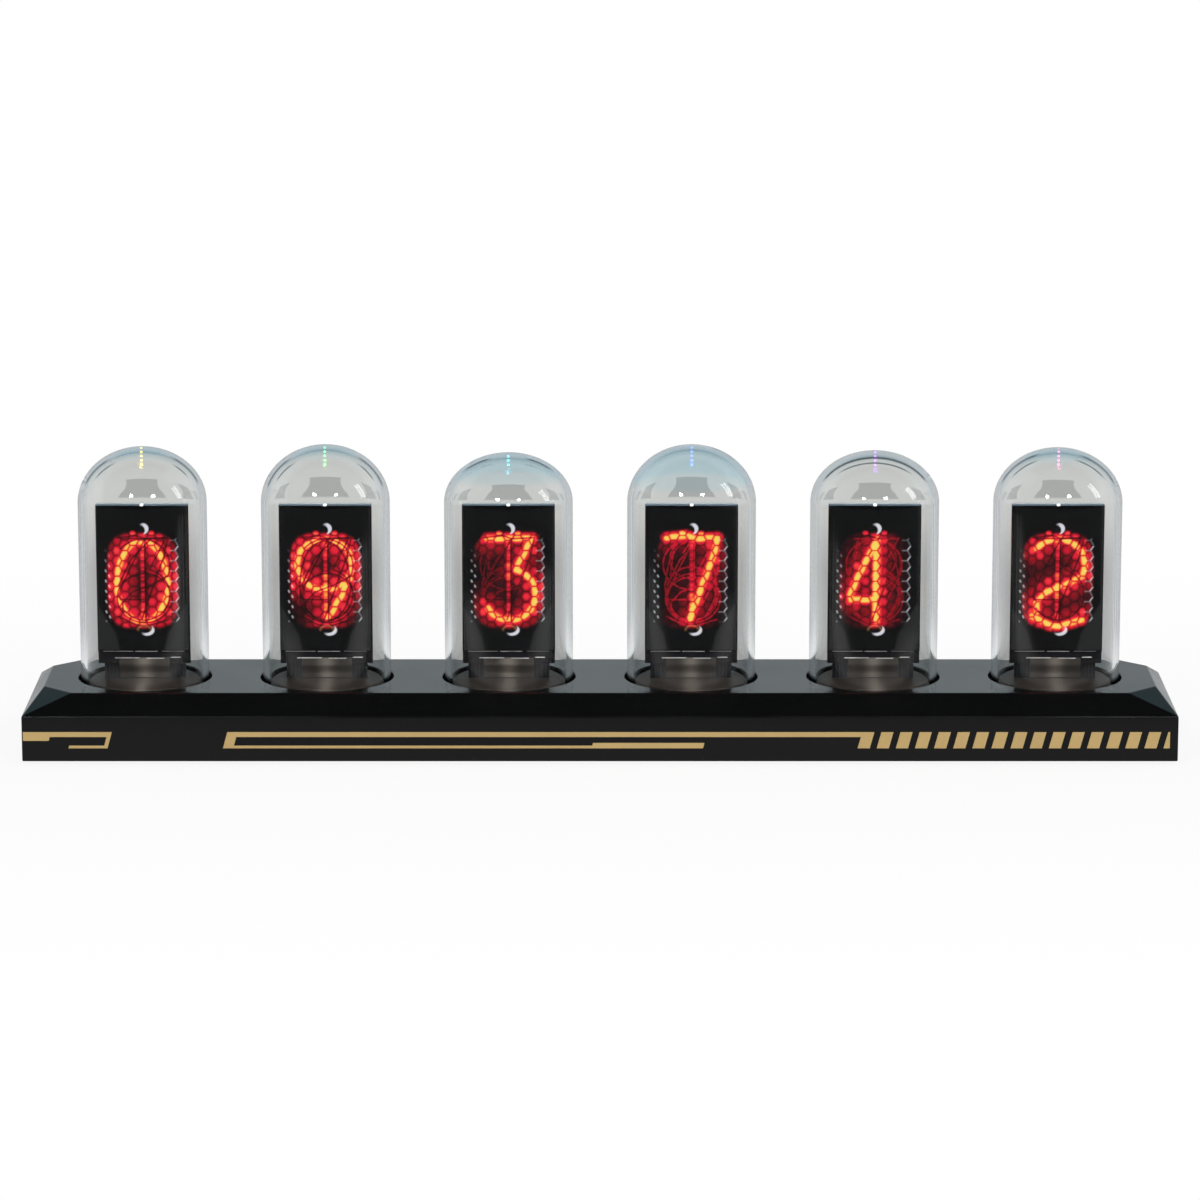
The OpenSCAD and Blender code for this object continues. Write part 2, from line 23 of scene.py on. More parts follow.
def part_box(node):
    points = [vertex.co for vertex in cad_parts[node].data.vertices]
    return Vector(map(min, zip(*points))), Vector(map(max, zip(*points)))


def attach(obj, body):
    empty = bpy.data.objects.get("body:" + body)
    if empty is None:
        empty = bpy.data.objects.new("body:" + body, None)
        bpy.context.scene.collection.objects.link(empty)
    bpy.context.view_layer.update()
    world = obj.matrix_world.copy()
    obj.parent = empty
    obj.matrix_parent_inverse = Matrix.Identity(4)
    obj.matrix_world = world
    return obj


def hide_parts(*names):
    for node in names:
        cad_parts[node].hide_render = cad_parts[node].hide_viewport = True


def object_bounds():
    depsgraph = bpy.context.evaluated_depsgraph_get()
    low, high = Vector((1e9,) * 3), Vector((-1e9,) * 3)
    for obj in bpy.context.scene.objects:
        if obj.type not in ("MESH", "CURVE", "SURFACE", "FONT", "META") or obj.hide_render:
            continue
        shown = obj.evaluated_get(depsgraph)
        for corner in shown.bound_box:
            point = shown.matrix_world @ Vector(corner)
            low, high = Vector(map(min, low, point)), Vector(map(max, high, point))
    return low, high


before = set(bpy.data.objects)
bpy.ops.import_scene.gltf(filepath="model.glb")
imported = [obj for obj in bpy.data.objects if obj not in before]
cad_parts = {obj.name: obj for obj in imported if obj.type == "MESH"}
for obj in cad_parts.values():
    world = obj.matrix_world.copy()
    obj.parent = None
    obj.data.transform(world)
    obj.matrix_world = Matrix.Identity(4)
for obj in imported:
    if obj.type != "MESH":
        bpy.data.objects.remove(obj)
cad_low, cad_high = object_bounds()
log = logging.getLogger("picture_tube_clock")

MM = 0.001
BASE = "base"
TUBES = range(1, 7)
HALF_PITCH = 17.5 * MM  # half the distance between two tubes
MERGE_GAP = MM / 1000  # points that are closer count as one
FLAT_ANGLE = 0.4  # degrees between faces that count as one flat face
SMOOTH_ANGLE = 35  # degrees between faces up to which most pieces are shaded smooth
SOFT_ANGLE = 60  # the same for small soft pieces
THIN_PART = 5  # a thin piece is rounded by this part of its thickness
WHITE = (1.0, 1.0, 1.0, 1.0)
Colour = tuple[float, float, float]
Point = tuple[float, float]


class Axis(Enum):
    """Axis that a turned piece is spun about."""

    UP = (0.0, 0.0, 1.0)
    REAR = (0.0, 1.0, 0.0)


# Modelling


def take(piece: bpy.types.Object) -> None:
    """Makes a piece the only selected object and the active one.

    Args:
        piece: The object.
    """
    bpy.ops.object.select_all(action="DESELECT")
    piece.select_set(True)
    bpy.context.view_layer.objects.active = piece


@contextmanager
def editing(piece: bpy.types.Object) -> Iterator[None]:
    """Opens a piece in edit mode, and closes it again.

    Args:
        piece: The object to edit.

    Yields:
        Nothing, while the piece is open.
    """
    take(piece)
    bpy.ops.object.mode_set(mode="EDIT")
    bpy.ops.mesh.select_mode(type="VERT")
    yield
    bpy.ops.object.mode_set(mode="OBJECT")


def pick_edges(piece: bpy.types.Object, wanted: Callable[[bmesh.types.BMEdge], bool]) -> None:
    """Selects the edges that pass a test, in edit mode.

    Args:
        piece: The object that is being edited.
        wanted: Test of one edge.
    """
    bpy.ops.mesh.select_mode(type="EDGE")
    bpy.ops.mesh.select_all(action="DESELECT")
    mesh = bmesh.from_edit_mesh(piece.data)
    for edge in mesh.edges:
        if wanted(edge):
            edge.select_set(True)
    bmesh.update_edit_mesh(piece.data)


def quarter_turn(steps: int) -> list[float]:
    """Gives the angles of a quarter turn in even steps, with both ends."""
    return [math.pi / 2 * k / steps for k in range(steps + 1)]


def named(name: str) -> bpy.types.Object:
    """Names the object that an operator has just made, and puts its place in its mesh.

    Args:
        name: Name of the piece.

    Returns:
        The object, at the origin.
    """
    piece = bpy.context.object
    piece.name = name
    piece.data.name = name
    bpy.ops.object.transform_apply(location=True, rotation=True, scale=True)
    return piece


def block(
    name: str, low: Sequence[float], high: Sequence[float], edge: float, segments: int = 2
) -> bpy.types.Object:
    """Makes a block with rounded edges.

    Args:
        name: Name of the piece.
        low: Lowest corner.
        high: Highest corner.
        edge: Width of the rounding.
        segments: Number of faces across the rounding.

    Returns:
        The block.
    """
    low, high = Vector(low), Vector(high)
    bpy.ops.object.select_all(action="DESELECT")
    bpy.ops.mesh.primitive_cube_add(size=1, location=(low + high) / 2, scale=high - low)
    piece = named(name)
    with editing(piece):
        bpy.ops.mesh.select_all(action="SELECT")
        bpy.ops.mesh.bevel(offset=edge, segments=segments, affect="EDGES")
    return piece


def turned(
    name: str, outline: Sequence[Point], middle: Vector, axis: Axis, steps: int
) -> bpy.types.Object:
    """Spins an outline into a closed round piece.

    Args:
        name: Name of the piece.
        outline: Points as radius and distance along the axis, from the axis back to the axis.
        middle: Point on the axis that the distances are measured from.
        axis: Direction of the axis.
        steps: Number of steps round the axis.

    Returns:
        The turned piece.
    """
    along = Vector(axis.value)
    path = [middle + Vector((radius, 0, 0)) + along * height for radius, height in outline]
    bpy.ops.object.select_all(action="DESELECT")
    bpy.ops.mesh.primitive_plane_add(size=MM, location=path[0])
    piece = named(name)
    with editing(piece):
        bpy.ops.mesh.select_all(action="SELECT")
        bpy.ops.mesh.merge(type="CENTER")
        for start, end in zip(path, path[1:]):
            bpy.ops.mesh.extrude_region_move(TRANSFORM_OT_translate={"value": end - start})
        bpy.ops.mesh.select_all(action="SELECT")
        bpy.ops.mesh.spin(steps=steps, angle=math.tau, center=middle, axis=along)
        bpy.ops.mesh.select_all(action="SELECT")
        bpy.ops.mesh.remove_doubles(threshold=MERGE_GAP)
        bpy.ops.mesh.normals_make_consistent(inside=False)
    return piece


def merged_copy(node: str, name: str) -> bpy.types.Object:
    """Copies a CAD node as one closed mesh with plain faces.

    Args:
        node: Name of the CAD node.
        name: Name of the new piece.

    Returns:
        The copy, with no material.
    """
    piece = bpy.data.objects.new(name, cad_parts[node].data.copy())
    piece.data.name = name
    piece.data.materials.clear()
    bpy.context.scene.collection.objects.link(piece)
    take(piece)
    bpy.ops.mesh.customdata_custom_splitnormals_clear()
    with editing(piece):
        bpy.ops.mesh.select_all(action="SELECT")
        bpy.ops.mesh.remove_doubles(threshold=MERGE_GAP)
        bpy.ops.mesh.dissolve_limited(angle_limit=math.radians(FLAT_ANGLE))
    return piece


def shifted_copy(piece: bpy.types.Object, name: str, shift: Vector) -> bpy.types.Object:
    """Copies a finished piece to another place, with its own mesh.

    Args:
        piece: The piece to copy.
        name: Name of the copy.
        shift: How far the copy lies from the piece.

    Returns:
        The copy, at the origin with its place in its mesh.
    """
    copy = bpy.data.objects.new(name, piece.data.copy())
    copy.data.name = name
    copy.data.transform(Matrix.Translation(shift))
    bpy.context.scene.collection.objects.link(copy)
    return copy


def joined(name: str, pieces: Sequence[bpy.types.Object]) -> bpy.types.Object:
    """Joins pieces of one finish into one object.

    Args:
        name: Name of the joined piece.
        pieces: The objects to join.

    Returns:
        The joined piece.
    """
    bpy.ops.object.select_all(action="DESELECT")
    for piece in pieces:
        piece.select_set(True)
    bpy.context.view_layer.objects.active = pieces[0]
    bpy.ops.object.join()
    return named(name)


def smoothed(piece: bpy.types.Object, angle: float = SMOOTH_ANGLE) -> bpy.types.Object:
    """Shades a piece smooth up to an angle, with its flat faces kept flat.

    Args:
        piece: The object to shade.
        angle: Sharpest angle that is smoothed, in degrees.

    Returns:
        The same piece.
    """
    take(piece)
    bpy.ops.object.shade_smooth_by_angle(angle=math.radians(angle))
    modifier = piece.modifiers.new("even_normals", "WEIGHTED_NORMAL")
    modifier.keep_sharp = True
    bpy.ops.object.modifier_apply(modifier=modifier.name)
    return piece


# Finishes


class Nodes:
    """Writes the nodes of one shader tree."""

    def __init__(self, tree: bpy.types.NodeTree) -> None:
        """Takes up a tree and empties it."""
        self.tree = tree
        tree.nodes.clear()

    def feed(self, socket: bpy.types.NodeSocket, value: Any) -> None:
        """Links a socket to another one, or sets its value.

        Args:
            socket: The input to feed.
            value: An output of another node, or a plain value.
        """
        if isinstance(value, bpy.types.NodeSocket):
            self.tree.links.new(value, socket)
        else:
            socket.default_value = value

    def add(self, kind: str, sockets: dict[Any, Any] | None = None, **settings: Any) -> bpy.types.Node:
        """Adds a node.

        Args:
            kind: Node type, without its ShaderNode prefix.
            sockets: Values or links of its inputs, by name or number.
            **settings: Options of the node, set before its inputs.

        Returns:
            The new node.
        """
        node = self.tree.nodes.new("ShaderNode" + kind)
        for key, value in settings.items():
            setattr(node, key, value)
        for key, value in (sockets or {}).items():
            self.feed(node.inputs[key], value)
        return node

    def math(self, operation: str, *values: Any) -> bpy.types.NodeSocket:
        """Adds a Math node on one to three values and returns its result."""
        return self.add("Math", dict(enumerate(values)), operation=operation).outputs[0]

    def vector(self, operation: str, *values: Any) -> bpy.types.Node:
        """Adds a Vector Math node on one or two values and returns it."""
        return self.add("VectorMath", dict(enumerate(values)), operation=operation)

    def product(self, first: Any, *others: Any) -> bpy.types.NodeSocket:
        """Multiplies values with one another.

        Args:
            first: The first value.
            *others: The other values.

        Returns:
            The product.
        """
        result = first
        for value in others:
            result = self.math("MULTIPLY", result, value)
        return result

    def apart(self, first: Any, second: Any) -> bpy.types.NodeSocket:
        """Measures how far two values are apart and returns the result."""
        return self.math("ABSOLUTE", self.math("SUBTRACT", first, second))

    def ease(self, value: Any, low: float, high: float) -> bpy.types.NodeSocket:
        """Maps a value smoothly from low..high to 0..1 and returns the result."""
        limits = {0: value, 1: low, 2: high}
        return self.add("MapRange", limits, interpolation_type="SMOOTHSTEP").outputs[0]

    def mix(self, share: Any, first: Any, second: Any) -> bpy.types.NodeSocket:
        """Mixes two colours by a share and returns the result."""
        ends = [(*c, 1) if isinstance(c, tuple) else c for c in (first, second)]
        return self.add("Mix", {0: share, 6: ends[0], 7: ends[1]}, data_type="RGBA").outputs[2]

    def noise(self, place: Any, size: Any, detail: float) -> bpy.types.NodeSocket:
        """Adds noise with spots of a size and returns its value."""
        scale = self.math("DIVIDE", 1.0, size)
        return self.add("TexNoise", {"Vector": place, "Scale": scale, "Detail": detail}).outputs[0]

    def place(self) -> Sequence[bpy.types.NodeSocket]:
        """Gives x, y and z of a point in the object's own frame."""
        return self.add("SeparateXYZ", {0: self.add("TexCoord").outputs["Object"]}).outputs

    def from_tube(self, x: bpy.types.NodeSocket) -> bpy.types.NodeSocket:
        """Measures how far a place along X is from the nearest tube's middle and returns the result."""
        return self.math("SUBTRACT", HALF_PITCH, self.math("PINGPONG", x, HALF_PITCH))

    def outer_side(self) -> bpy.types.NodeSocket:
        """Gives 1 where a surface is seen from the side that it faces, and 0 from its back."""
        return self.math("SUBTRACT", 1.0, self.add("NewGeometry").outputs["Backfacing"])


@dataclass(frozen=True)
class SurfaceMarks:
    """Node group for moulded grain, brushing and handling marks.

    Attributes:
        fine_detail: Detail of the grain.
        wide_detail: Detail of the smudges.
        fine_share: Share of the grain in the tone, with the smudges as the rest.
        smudge_limits: Where a smudge starts and where it is full.
    """

    fine_detail: float = 3.0
    wide_detail: float = 5.0
    fine_share: float = 0.5
    smudge_limits: tuple[float, float] = (0.35, 0.68)

    def make(self) -> bpy.types.NodeTree:
        """Makes the group.

        Returns:
            A group that gives the height of the grain, a tone and a smudge, each from 0 to 1.
        """
        tree = bpy.data.node_groups.new("surface_marks", "ShaderNodeTree")
        nodes = Nodes(tree)
        for key in ("Grain", "Stretch", "Spot"):
            tree.interface.new_socket(key, in_out="INPUT", socket_type="NodeSocketFloat")
        for key in ("Height", "Tone", "Smudge"):
            tree.interface.new_socket(key, in_out="OUTPUT", socket_type="NodeSocketFloat")
        given = tree.nodes.new("NodeGroupInput").outputs
        place = nodes.add("TexCoord").outputs["Object"]
        lengths = nodes.add("CombineXYZ", {0: given["Stretch"], 1: 1.0, 2: 1.0}).outputs[0]
        drawn = nodes.vector("DIVIDE", place, lengths).outputs[0]
        fine = nodes.noise(drawn, given["Grain"], self.fine_detail)
        wide = nodes.noise(place, given["Spot"], self.wide_detail)
        rest = nodes.math("MULTIPLY", wide, 1 - self.fine_share)
        result = tree.nodes.new("NodeGroupOutput").inputs
        nodes.feed(result["Height"], fine)
        nodes.feed(result["Tone"], nodes.math("MULTIPLY_ADD", fine, self.fine_share, rest))
        nodes.feed(result["Smudge"], nodes.ease(wide, *self.smudge_limits))
        return tree


SURFACE_MARKS = SurfaceMarks().make()
MADE: dict[str, bpy.types.Material] = {}


@dataclass(frozen=True)
class Finish:
    """A finish: colour, gloss and how far its marks vary them.

    Attributes:
        name: Name of the material.
        colour: Colour of the surface.
        roughness: Roughness where the surface is clean.
        smear: How much rougher smudges make it.
        shade: How far the tone changes the colour, as a share of it.
        metallic: 1 for bare metal.
        specular: Strength of the reflection, 0.5 for plain plastic.
        grain: Size of the grain.
        depth: Height of the grain, or 0 for none.
        stretch: How far the grain is drawn out along X.
        spot: Size of the smudges.
    """

    name: str
    colour: Colour
    roughness: float
    smear: float = 0.06
    shade: float = 0.2
    metallic: float = 0.0
    specular: float = 0.5
    grain: float = 0.2 * MM
    depth: float = 0.004 * MM
    stretch: float = 1.0
    spot: float = 14 * MM

    def material(self) -> bpy.types.Material:
        """Gives the material, made at its first use.

        Returns:
            The material.
        """
        if self.name not in MADE:
            MADE[self.name] = self.make()
        return MADE[self.name]

    def tint(self, nodes: Nodes, marks: bpy.types.Node) -> bpy.types.NodeSocket:
        """Varies the colour with the tone of the marks.

        Args:
            nodes: Writer of the material's tree.
            marks: Node of the surface marks.

        Returns:
            The colour.
        """
        dark = tuple(c * (1 - self.shade) for c in self.colour)
        pale = tuple(min(1.0, c * (1 + self.shade)) for c in self.colour)
        return nodes.mix(marks.outputs["Tone"], dark, pale)

    def extra(self, nodes: Nodes) -> dict[str, Any]:
        """Gives further inputs of the shader."""
        return {}

    def make(self) -> bpy.types.Material:
        """Makes the material with its nodes.

        Returns:
            The material.
        """
        material = bpy.data.materials.new(self.name)
        material.use_nodes = True
        nodes = Nodes(material.node_tree)
        sizes = {"Grain": self.grain, "Stretch": self.stretch, "Spot": self.spot}
        marks = nodes.add("Group", sizes, node_tree=SURFACE_MARKS)
        sockets = {
            "Base Color": self.tint(nodes, marks),
            "Roughness": nodes.math("MULTIPLY_ADD", marks.outputs["Smudge"], self.smear, self.roughness),
            "Metallic": self.metallic,
            "Specular IOR Level": self.specular,
            **self.extra(nodes),
        }
        if self.depth:
            relief = {"Height": marks.outputs["Height"], "Strength": 1.0, "Distance": self.depth}
            sockets["Normal"] = nodes.add("Bump", relief).outputs[0]
        self.close(nodes, nodes.add("BsdfPrincipled", sockets).outputs[0])
        return material

    def close(self, nodes: Nodes, shader: bpy.types.NodeSocket) -> None:
        """Shows the shader on the surface."""
        nodes.add("OutputMaterial", {"Surface": shader})


@dataclass(frozen=True)
class ClearGlass(Finish):
    """Clear glass that lets lamps shine through to what it covers.

    Attributes:
        index: Refractive index.
        veil: Share of a lamp's light that passes.
    """

    index: float = 1.46
    veil: float = 0.93

    def extra(self, nodes: Nodes) -> dict[str, Any]:
        """Makes the shader transmit."""
        return {"Transmission Weight": 1.0, "IOR": self.index}

    def close(self, nodes: Nodes, shader: bpy.types.NodeSocket) -> None:
        """Shows glass to the eye and a clear pane to rays from the lamps.

        Args:
            nodes: Writer of the material's tree.
            shader: The glass.
        """
        pane = nodes.add("BsdfTransparent", {"Color": (self.veil, self.veil, self.veil, 1)}).outputs[0]
        lamp_ray = nodes.add("LightPath").outputs["Is Shadow Ray"]
        super().close(nodes, nodes.add("MixShader", {0: lamp_ray, 1: shader, 2: pane}).outputs[0])


@dataclass(frozen=True)
class ReflectionPaintedGlass(ClearGlass):
    """Clear dome glass with painted light: sky reflection on the crown, shade lines at the shoulders, LED
    reflection in dashes.

    Attributes:
        sky: Colour of the painted sky reflection on the crown.
        sky_line: Height where that painted reflection starts, and how far the change reaches.
        middle: Place of the dome's axis along X.
        shoulder: Lower end of the painted shade lines near the crown's outline, their gap from the axis,
            and the turn
        of the glass away from the view there.
        line_width: Change of that turn from the middle of a line to its edge.
        line_fade: Lengths over which a line fades at its lower end and towards the axis.
        shade_line_tone: Painted shade colour of the glass at a line.
        light: Colour of the dashes, the painted reflection of the LED's light.
        strength: Brightness of the dashes.
        half_width: Half the width of the row of dashes.
        dash: Distance between dashes, measured square to the view.
        dash_ends: Shares of that distance where a dash starts to light and is fully lit.
        span: Lower and upper end of the row, measured square to the view.
        slant: Sideways run of the row towards the rear, per length.
        lean: Shares of depth and of height in what is measured square to the view.
    """

    sky: Colour = (0.84, 0.96, 1.0)
    sky_line: tuple[float, float] = (0.055, 0.0008)
    middle: float = 0.0
    shoulder: tuple[float, float, float] = (0.051, 0.005, 0.6)
    line_width: float = 0.045
    line_fade: tuple[float, float] = (1.5 * MM, 2 * MM)
    shade_line_tone: Colour = (0.035, 0.045, 0.05)
    light: Colour = (1, 1, 1)
    strength: float = 1.7
    half_width: float = 0.15 * MM
    dash: float = 0.85 * MM
    dash_ends: tuple[float, float] = (0.2, 0.35)
    span: tuple[float, float] = (0.0522, 0.0562)
    slant: float = 0.0
    lean: tuple[float, float] = (0.21, 0.979)

    def tint(self, nodes: Nodes, marks: bpy.types.Node) -> bpy.types.NodeSocket:
        """Paints the sky reflection in blue above the line, and the dark shade lines near the outline.

        Args:
            nodes: Writer of the material's tree.
            marks: Node of the surface marks.

        Returns:
            The colour.
        """
        x, _, z = nodes.place()
        line, reach = self.sky_line
        # painted sky reflection: the glass turns blue above the line
        glass = nodes.mix(nodes.ease(z, line - reach, line + reach), super().tint(nodes, marks), self.sky)
        facing = nodes.add("LayerWeight", {"Blend": 0.5}).outputs["Facing"]
        low, gap, turn = self.shoulder
        rise, inwards = self.line_fade
        # painted shade: dark lines near the crown's outline, on its outer side
        share = nodes.product(
            nodes.outer_side(),
            nodes.ease(nodes.apart(facing, turn), self.line_width, self.line_width / 3),
            nodes.ease(z, low, low + rise),
            nodes.ease(nodes.apart(x, self.middle), gap, gap + inwards),
        )
        return nodes.mix(share, glass, self.shade_line_tone)

    def extra(self, nodes: Nodes) -> dict[str, Any]:
        """Paints the reflection of the LED's light as a glowing row of dashes on the front of the crown.

        Args:
            nodes: Writer of the material's tree.

        Returns:
            Further inputs of the shader.
        """
        x, y, z = nodes.place()
        row_x = nodes.math("MULTIPLY_ADD", y, self.slant, self.middle)
        by_depth, by_height = self.lean
        level = nodes.math("MULTIPLY_ADD", y, by_depth, nodes.math("MULTIPLY", z, by_height))
        low, high = self.span
        start, full = (share * self.dash for share in self.dash_ends)
        # painted reflection of the LED: a glowing row of dashes on the crown's front
        row = nodes.product(
            self.strength,
            nodes.ease(nodes.apart(x, row_x), 2 * self.half_width, self.half_width / 2),
            nodes.ease(nodes.math("PINGPONG", level, self.dash / 2), start, full),
            nodes.ease(level, low, low + self.dash),
            nodes.ease(level, high + self.dash, high),
            nodes.math("LESS_THAN", y, 0.0),
            nodes.outer_side(),
        )
        return {**super().extra(nodes), "Emission Color": (*self.light, 1), "Emission Strength": row}


@dataclass(frozen=True)
class LitFilm(Finish):
    """Dark front film of a display that shows a picture.

    Attributes:
        attribute: Name of the mesh's colours that hold the picture.
        strength: Brightness of the picture.
    """

    attribute: str = "picture"
    strength: float = 1.0

    def extra(self, nodes: Nodes) -> dict[str, Any]:
        """Lights the film with its picture."""
        picture = nodes.add("Attribute", attribute_name=self.attribute).outputs["Color"]
        return {"Emission Color": picture, "Emission Strength": self.strength}


@dataclass(frozen=True)
class LitLens(Finish):
    """Lens of a colour LED that is lit.

    Attributes:
        light: Colour of the light.
        strength: Brightness of the light.
    """

    light: Colour = (1, 1, 1)
    strength: float = 12.0

    def extra(self, nodes: Nodes) -> dict[str, Any]:
        """Lights the lens."""
        return {"Emission Color": (*self.light, 1), "Emission Strength": self.strength}


@dataclass(frozen=True)
class Tracked(Finish):
    """Board with copper tracks under its coat.

    Attributes:
        copper: Colour over a track.
        pitch: Distance between tracks.
        share: Share of the pitch that is copper.
        blur: Share of the pitch over which a track's edge fades to either side.
        jog: Length of a straight run between sideways steps.
        lane: Number of tracks that step sideways together.
    """

    copper: Colour = (0.3, 0.2, 0.1)
    pitch: float = 0.6 * MM
    share: float = 0.4
    blur: float = 0.05
    jog: float = 5 * MM
    lane: int = 4

    def tint(self, nodes: Nodes, marks: bpy.types.Node) -> bpy.types.NodeSocket:
        """Draws upright tracks over the plain colour.

        Args:
            nodes: Writer of the material's tree.
            marks: Node of the surface marks.

        Returns:
            The colour.
        """
        x, _, z = nodes.place()
        run = nodes.math("FLOOR", nodes.math("DIVIDE", z, self.jog))
        lane = nodes.math("FLOOR", nodes.math("DIVIDE", x, self.lane * self.pitch))
        cell = nodes.add("CombineXYZ", {0: lane, 1: run}).outputs[0]
        aside = nodes.add("TexWhiteNoise", {"Vector": cell}, noise_dimensions="3D").outputs[0]
        across = nodes.math("ADD", nodes.math("DIVIDE", x, self.pitch), aside)
        off = nodes.apart(nodes.math("FRACT", across), 0.5)
        track = nodes.ease(off, self.share / 2 + self.blur, self.share / 2 - self.blur)
        return nodes.mix(track, super().tint(nodes, marks), self.copper)


@dataclass(frozen=True)
class HighlightStreaked(Finish):
    """Finish with a painted highlight: a pale upright streak in the middle of every tube.

    Attributes:
        streak: Colour in the middle of a painted highlight streak.
        half_width: Half the width of a streak.
        falloff: How much faster a streak fades than a plain ease, as a power.
    """

    streak: Colour = (0.1, 0.1, 0.1)
    half_width: float = 4 * MM
    falloff: float = 4.0

    def tint(self, nodes: Nodes, marks: bpy.types.Node) -> bpy.types.NodeSocket:
        """Paints the highlight streaks over the plain colour, on what faces the front.

        Args:
            nodes: Writer of the material's tree.
            marks: Node of the surface marks.

        Returns:
            The colour.
        """
        x, y, _ = nodes.place()
        # painted highlight, palest in the middle of each tube
        pale = nodes.math("POWER", nodes.ease(nodes.from_tube(x), self.half_width, 0.0), self.falloff)
        share = nodes.math("MULTIPLY", pale, nodes.math("LESS_THAN", y, 0.0))
        return nodes.mix(share, super().tint(nodes, marks), self.streak)


@dataclass(frozen=True)
class EdgeGlass(Finish):
    """Black panel glass with a painted highlight along its upper edge, and a painted point of light glowing
    in the middle of it.

    Attributes:
        top: Height of the upper edge.
        shine: Colour of the painted highlight along the upper edge.
        edge_t: How far down the shine reaches.
        point_r: Radius of the painted point of light.
        strength: Brightness of that point.
    """

    top: float = 0.0
    shine: Colour = (0.085, 0.12, 0.155)
    edge_t: float = 0.12 * MM
    point_r: float = 0.4 * MM
    strength: float = 2.0

    def tint(self, nodes: Nodes, marks: bpy.types.Node) -> bpy.types.NodeSocket:
        """Paints the highlight along the upper edge.

        Args:
            nodes: Writer of the material's tree.
            marks: Node of the surface marks.

        Returns:
            The colour.
        """
        z = nodes.place()[2]
        # painted highlight along the upper edge
        edge = nodes.ease(z, self.top - 2 * self.edge_t, self.top - self.edge_t)
        return nodes.mix(edge, super().tint(nodes, marks), self.shine)

    def extra(self, nodes: Nodes) -> dict[str, Any]:
        """Paints the point of light as a glow.

        Args:
            nodes: Writer of the material's tree.

        Returns:
            Further inputs of the shader.
        """
        x, _, z = nodes.place()
        # painted point of light in the middle of the edge
        offset = nodes.add("CombineXYZ", {0: nodes.from_tube(x), 1: nodes.math("SUBTRACT", self.top, z)})
        away = nodes.vector("LENGTH", offset.outputs[0]).outputs["Value"]
        point = nodes.math("MULTIPLY", nodes.ease(away, self.point_r, self.point_r / 2), self.strength)
        return {"Emission Color": WHITE, "Emission Strength": point}


HOUSING = Finish(
    "housing_satin_black",
    (0.003, 0.0032, 0.0034),
    roughness=0.16,
    smear=0.05,
    specular=0.42,
    grain=0.12 * MM,
    depth=0.0012 * MM,
)
FOIL = Finish(
    "printed_gold",
    (0.68, 0.48, 0.20),
    roughness=0.42,
    smear=0.1,
    shade=0.1,
    metallic=0.35,
    grain=0.15 * MM,
    depth=0.002 * MM,
    spot=6 * MM,
)
COVER = Finish(
    "cover_black", (0.012, 0.012, 0.0125), roughness=0.5, smear=0.1, grain=0.35 * MM, depth=0.012 * MM
)
RUBBER = Finish(
    "foot_rubber", (0.02, 0.02, 0.02), roughness=0.75, smear=0.1, shade=0.3, grain=0.3 * MM, depth=0.01 * MM
)
STEEL = Finish(
    "bright_steel",
    (0.55, 0.55, 0.57),
    roughness=0.28,
    smear=0.12,
    shade=0.1,
    metallic=1.0,
    grain=0.06 * MM,
    depth=0.001 * MM,
    stretch=6,
)
KEY = Finish("key_black", (0.012, 0.012, 0.013), roughness=0.42, smear=0.08, grain=0.15 * MM)
# painted highlight streak in front of each tube's axis, over the socket's own brown-black
SOCKET = HighlightStreaked(
    "socket_brown_black",
    (0.030, 0.025, 0.021),
    roughness=0.4,
    smear=0.1,
    specular=0.1,
    depth=0.003 * MM,
    streak=(0.13, 0.112, 0.098),
    half_width=5 * MM,
)
# painted highlight along the panel's upper edge, with a painted glowing point
PANEL_GLASS = EdgeGlass(
    "panel_black_glass",
    (0.004, 0.004, 0.005),
    roughness=0.06,
    smear=0.05,
    specular=0.35,
    depth=0.0,
    top=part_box("lcd_panel_1")[1].z,
)
DRIVER = Finish(
    "driver_silicon",
    (0.06, 0.06, 0.075),
    roughness=0.14,
    smear=0.05,
    shade=0.1,
    metallic=1.0,
    grain=0.1 * MM,
    depth=0.0005 * MM,
    stretch=9,
)
# pale strips that stand for highlights on the panel's ledge, broken up by the tone
LEDGE_GLINT = Finish(
    "painted_ledge_glint",
    (0.5, 0.49, 0.48),
    roughness=0.25,
    smear=0.1,
    shade=0.95,
    grain=0.5 * MM,
    depth=0.03 * MM,
    spot=2 * MM,
)
TRAY = Finish("backlight_tray", (0.45, 0.48, 0.51), roughness=0.4, smear=0.1, shade=0.08)
MAIN_BOARD = Tracked(
    "main_board_green", (0.008, 0.03, 0.016), roughness=0.3, copper=(0.02, 0.06, 0.03), pitch=0.8 * MM
)
CARRIER = Tracked(
    "carrier_board_black",
    (0.004, 0.0045, 0.0055),
    roughness=0.35,
    specular=0.2,
    copper=(0.014, 0.016, 0.018),
    pitch=0.7 * MM,
    jog=4 * MM,
)
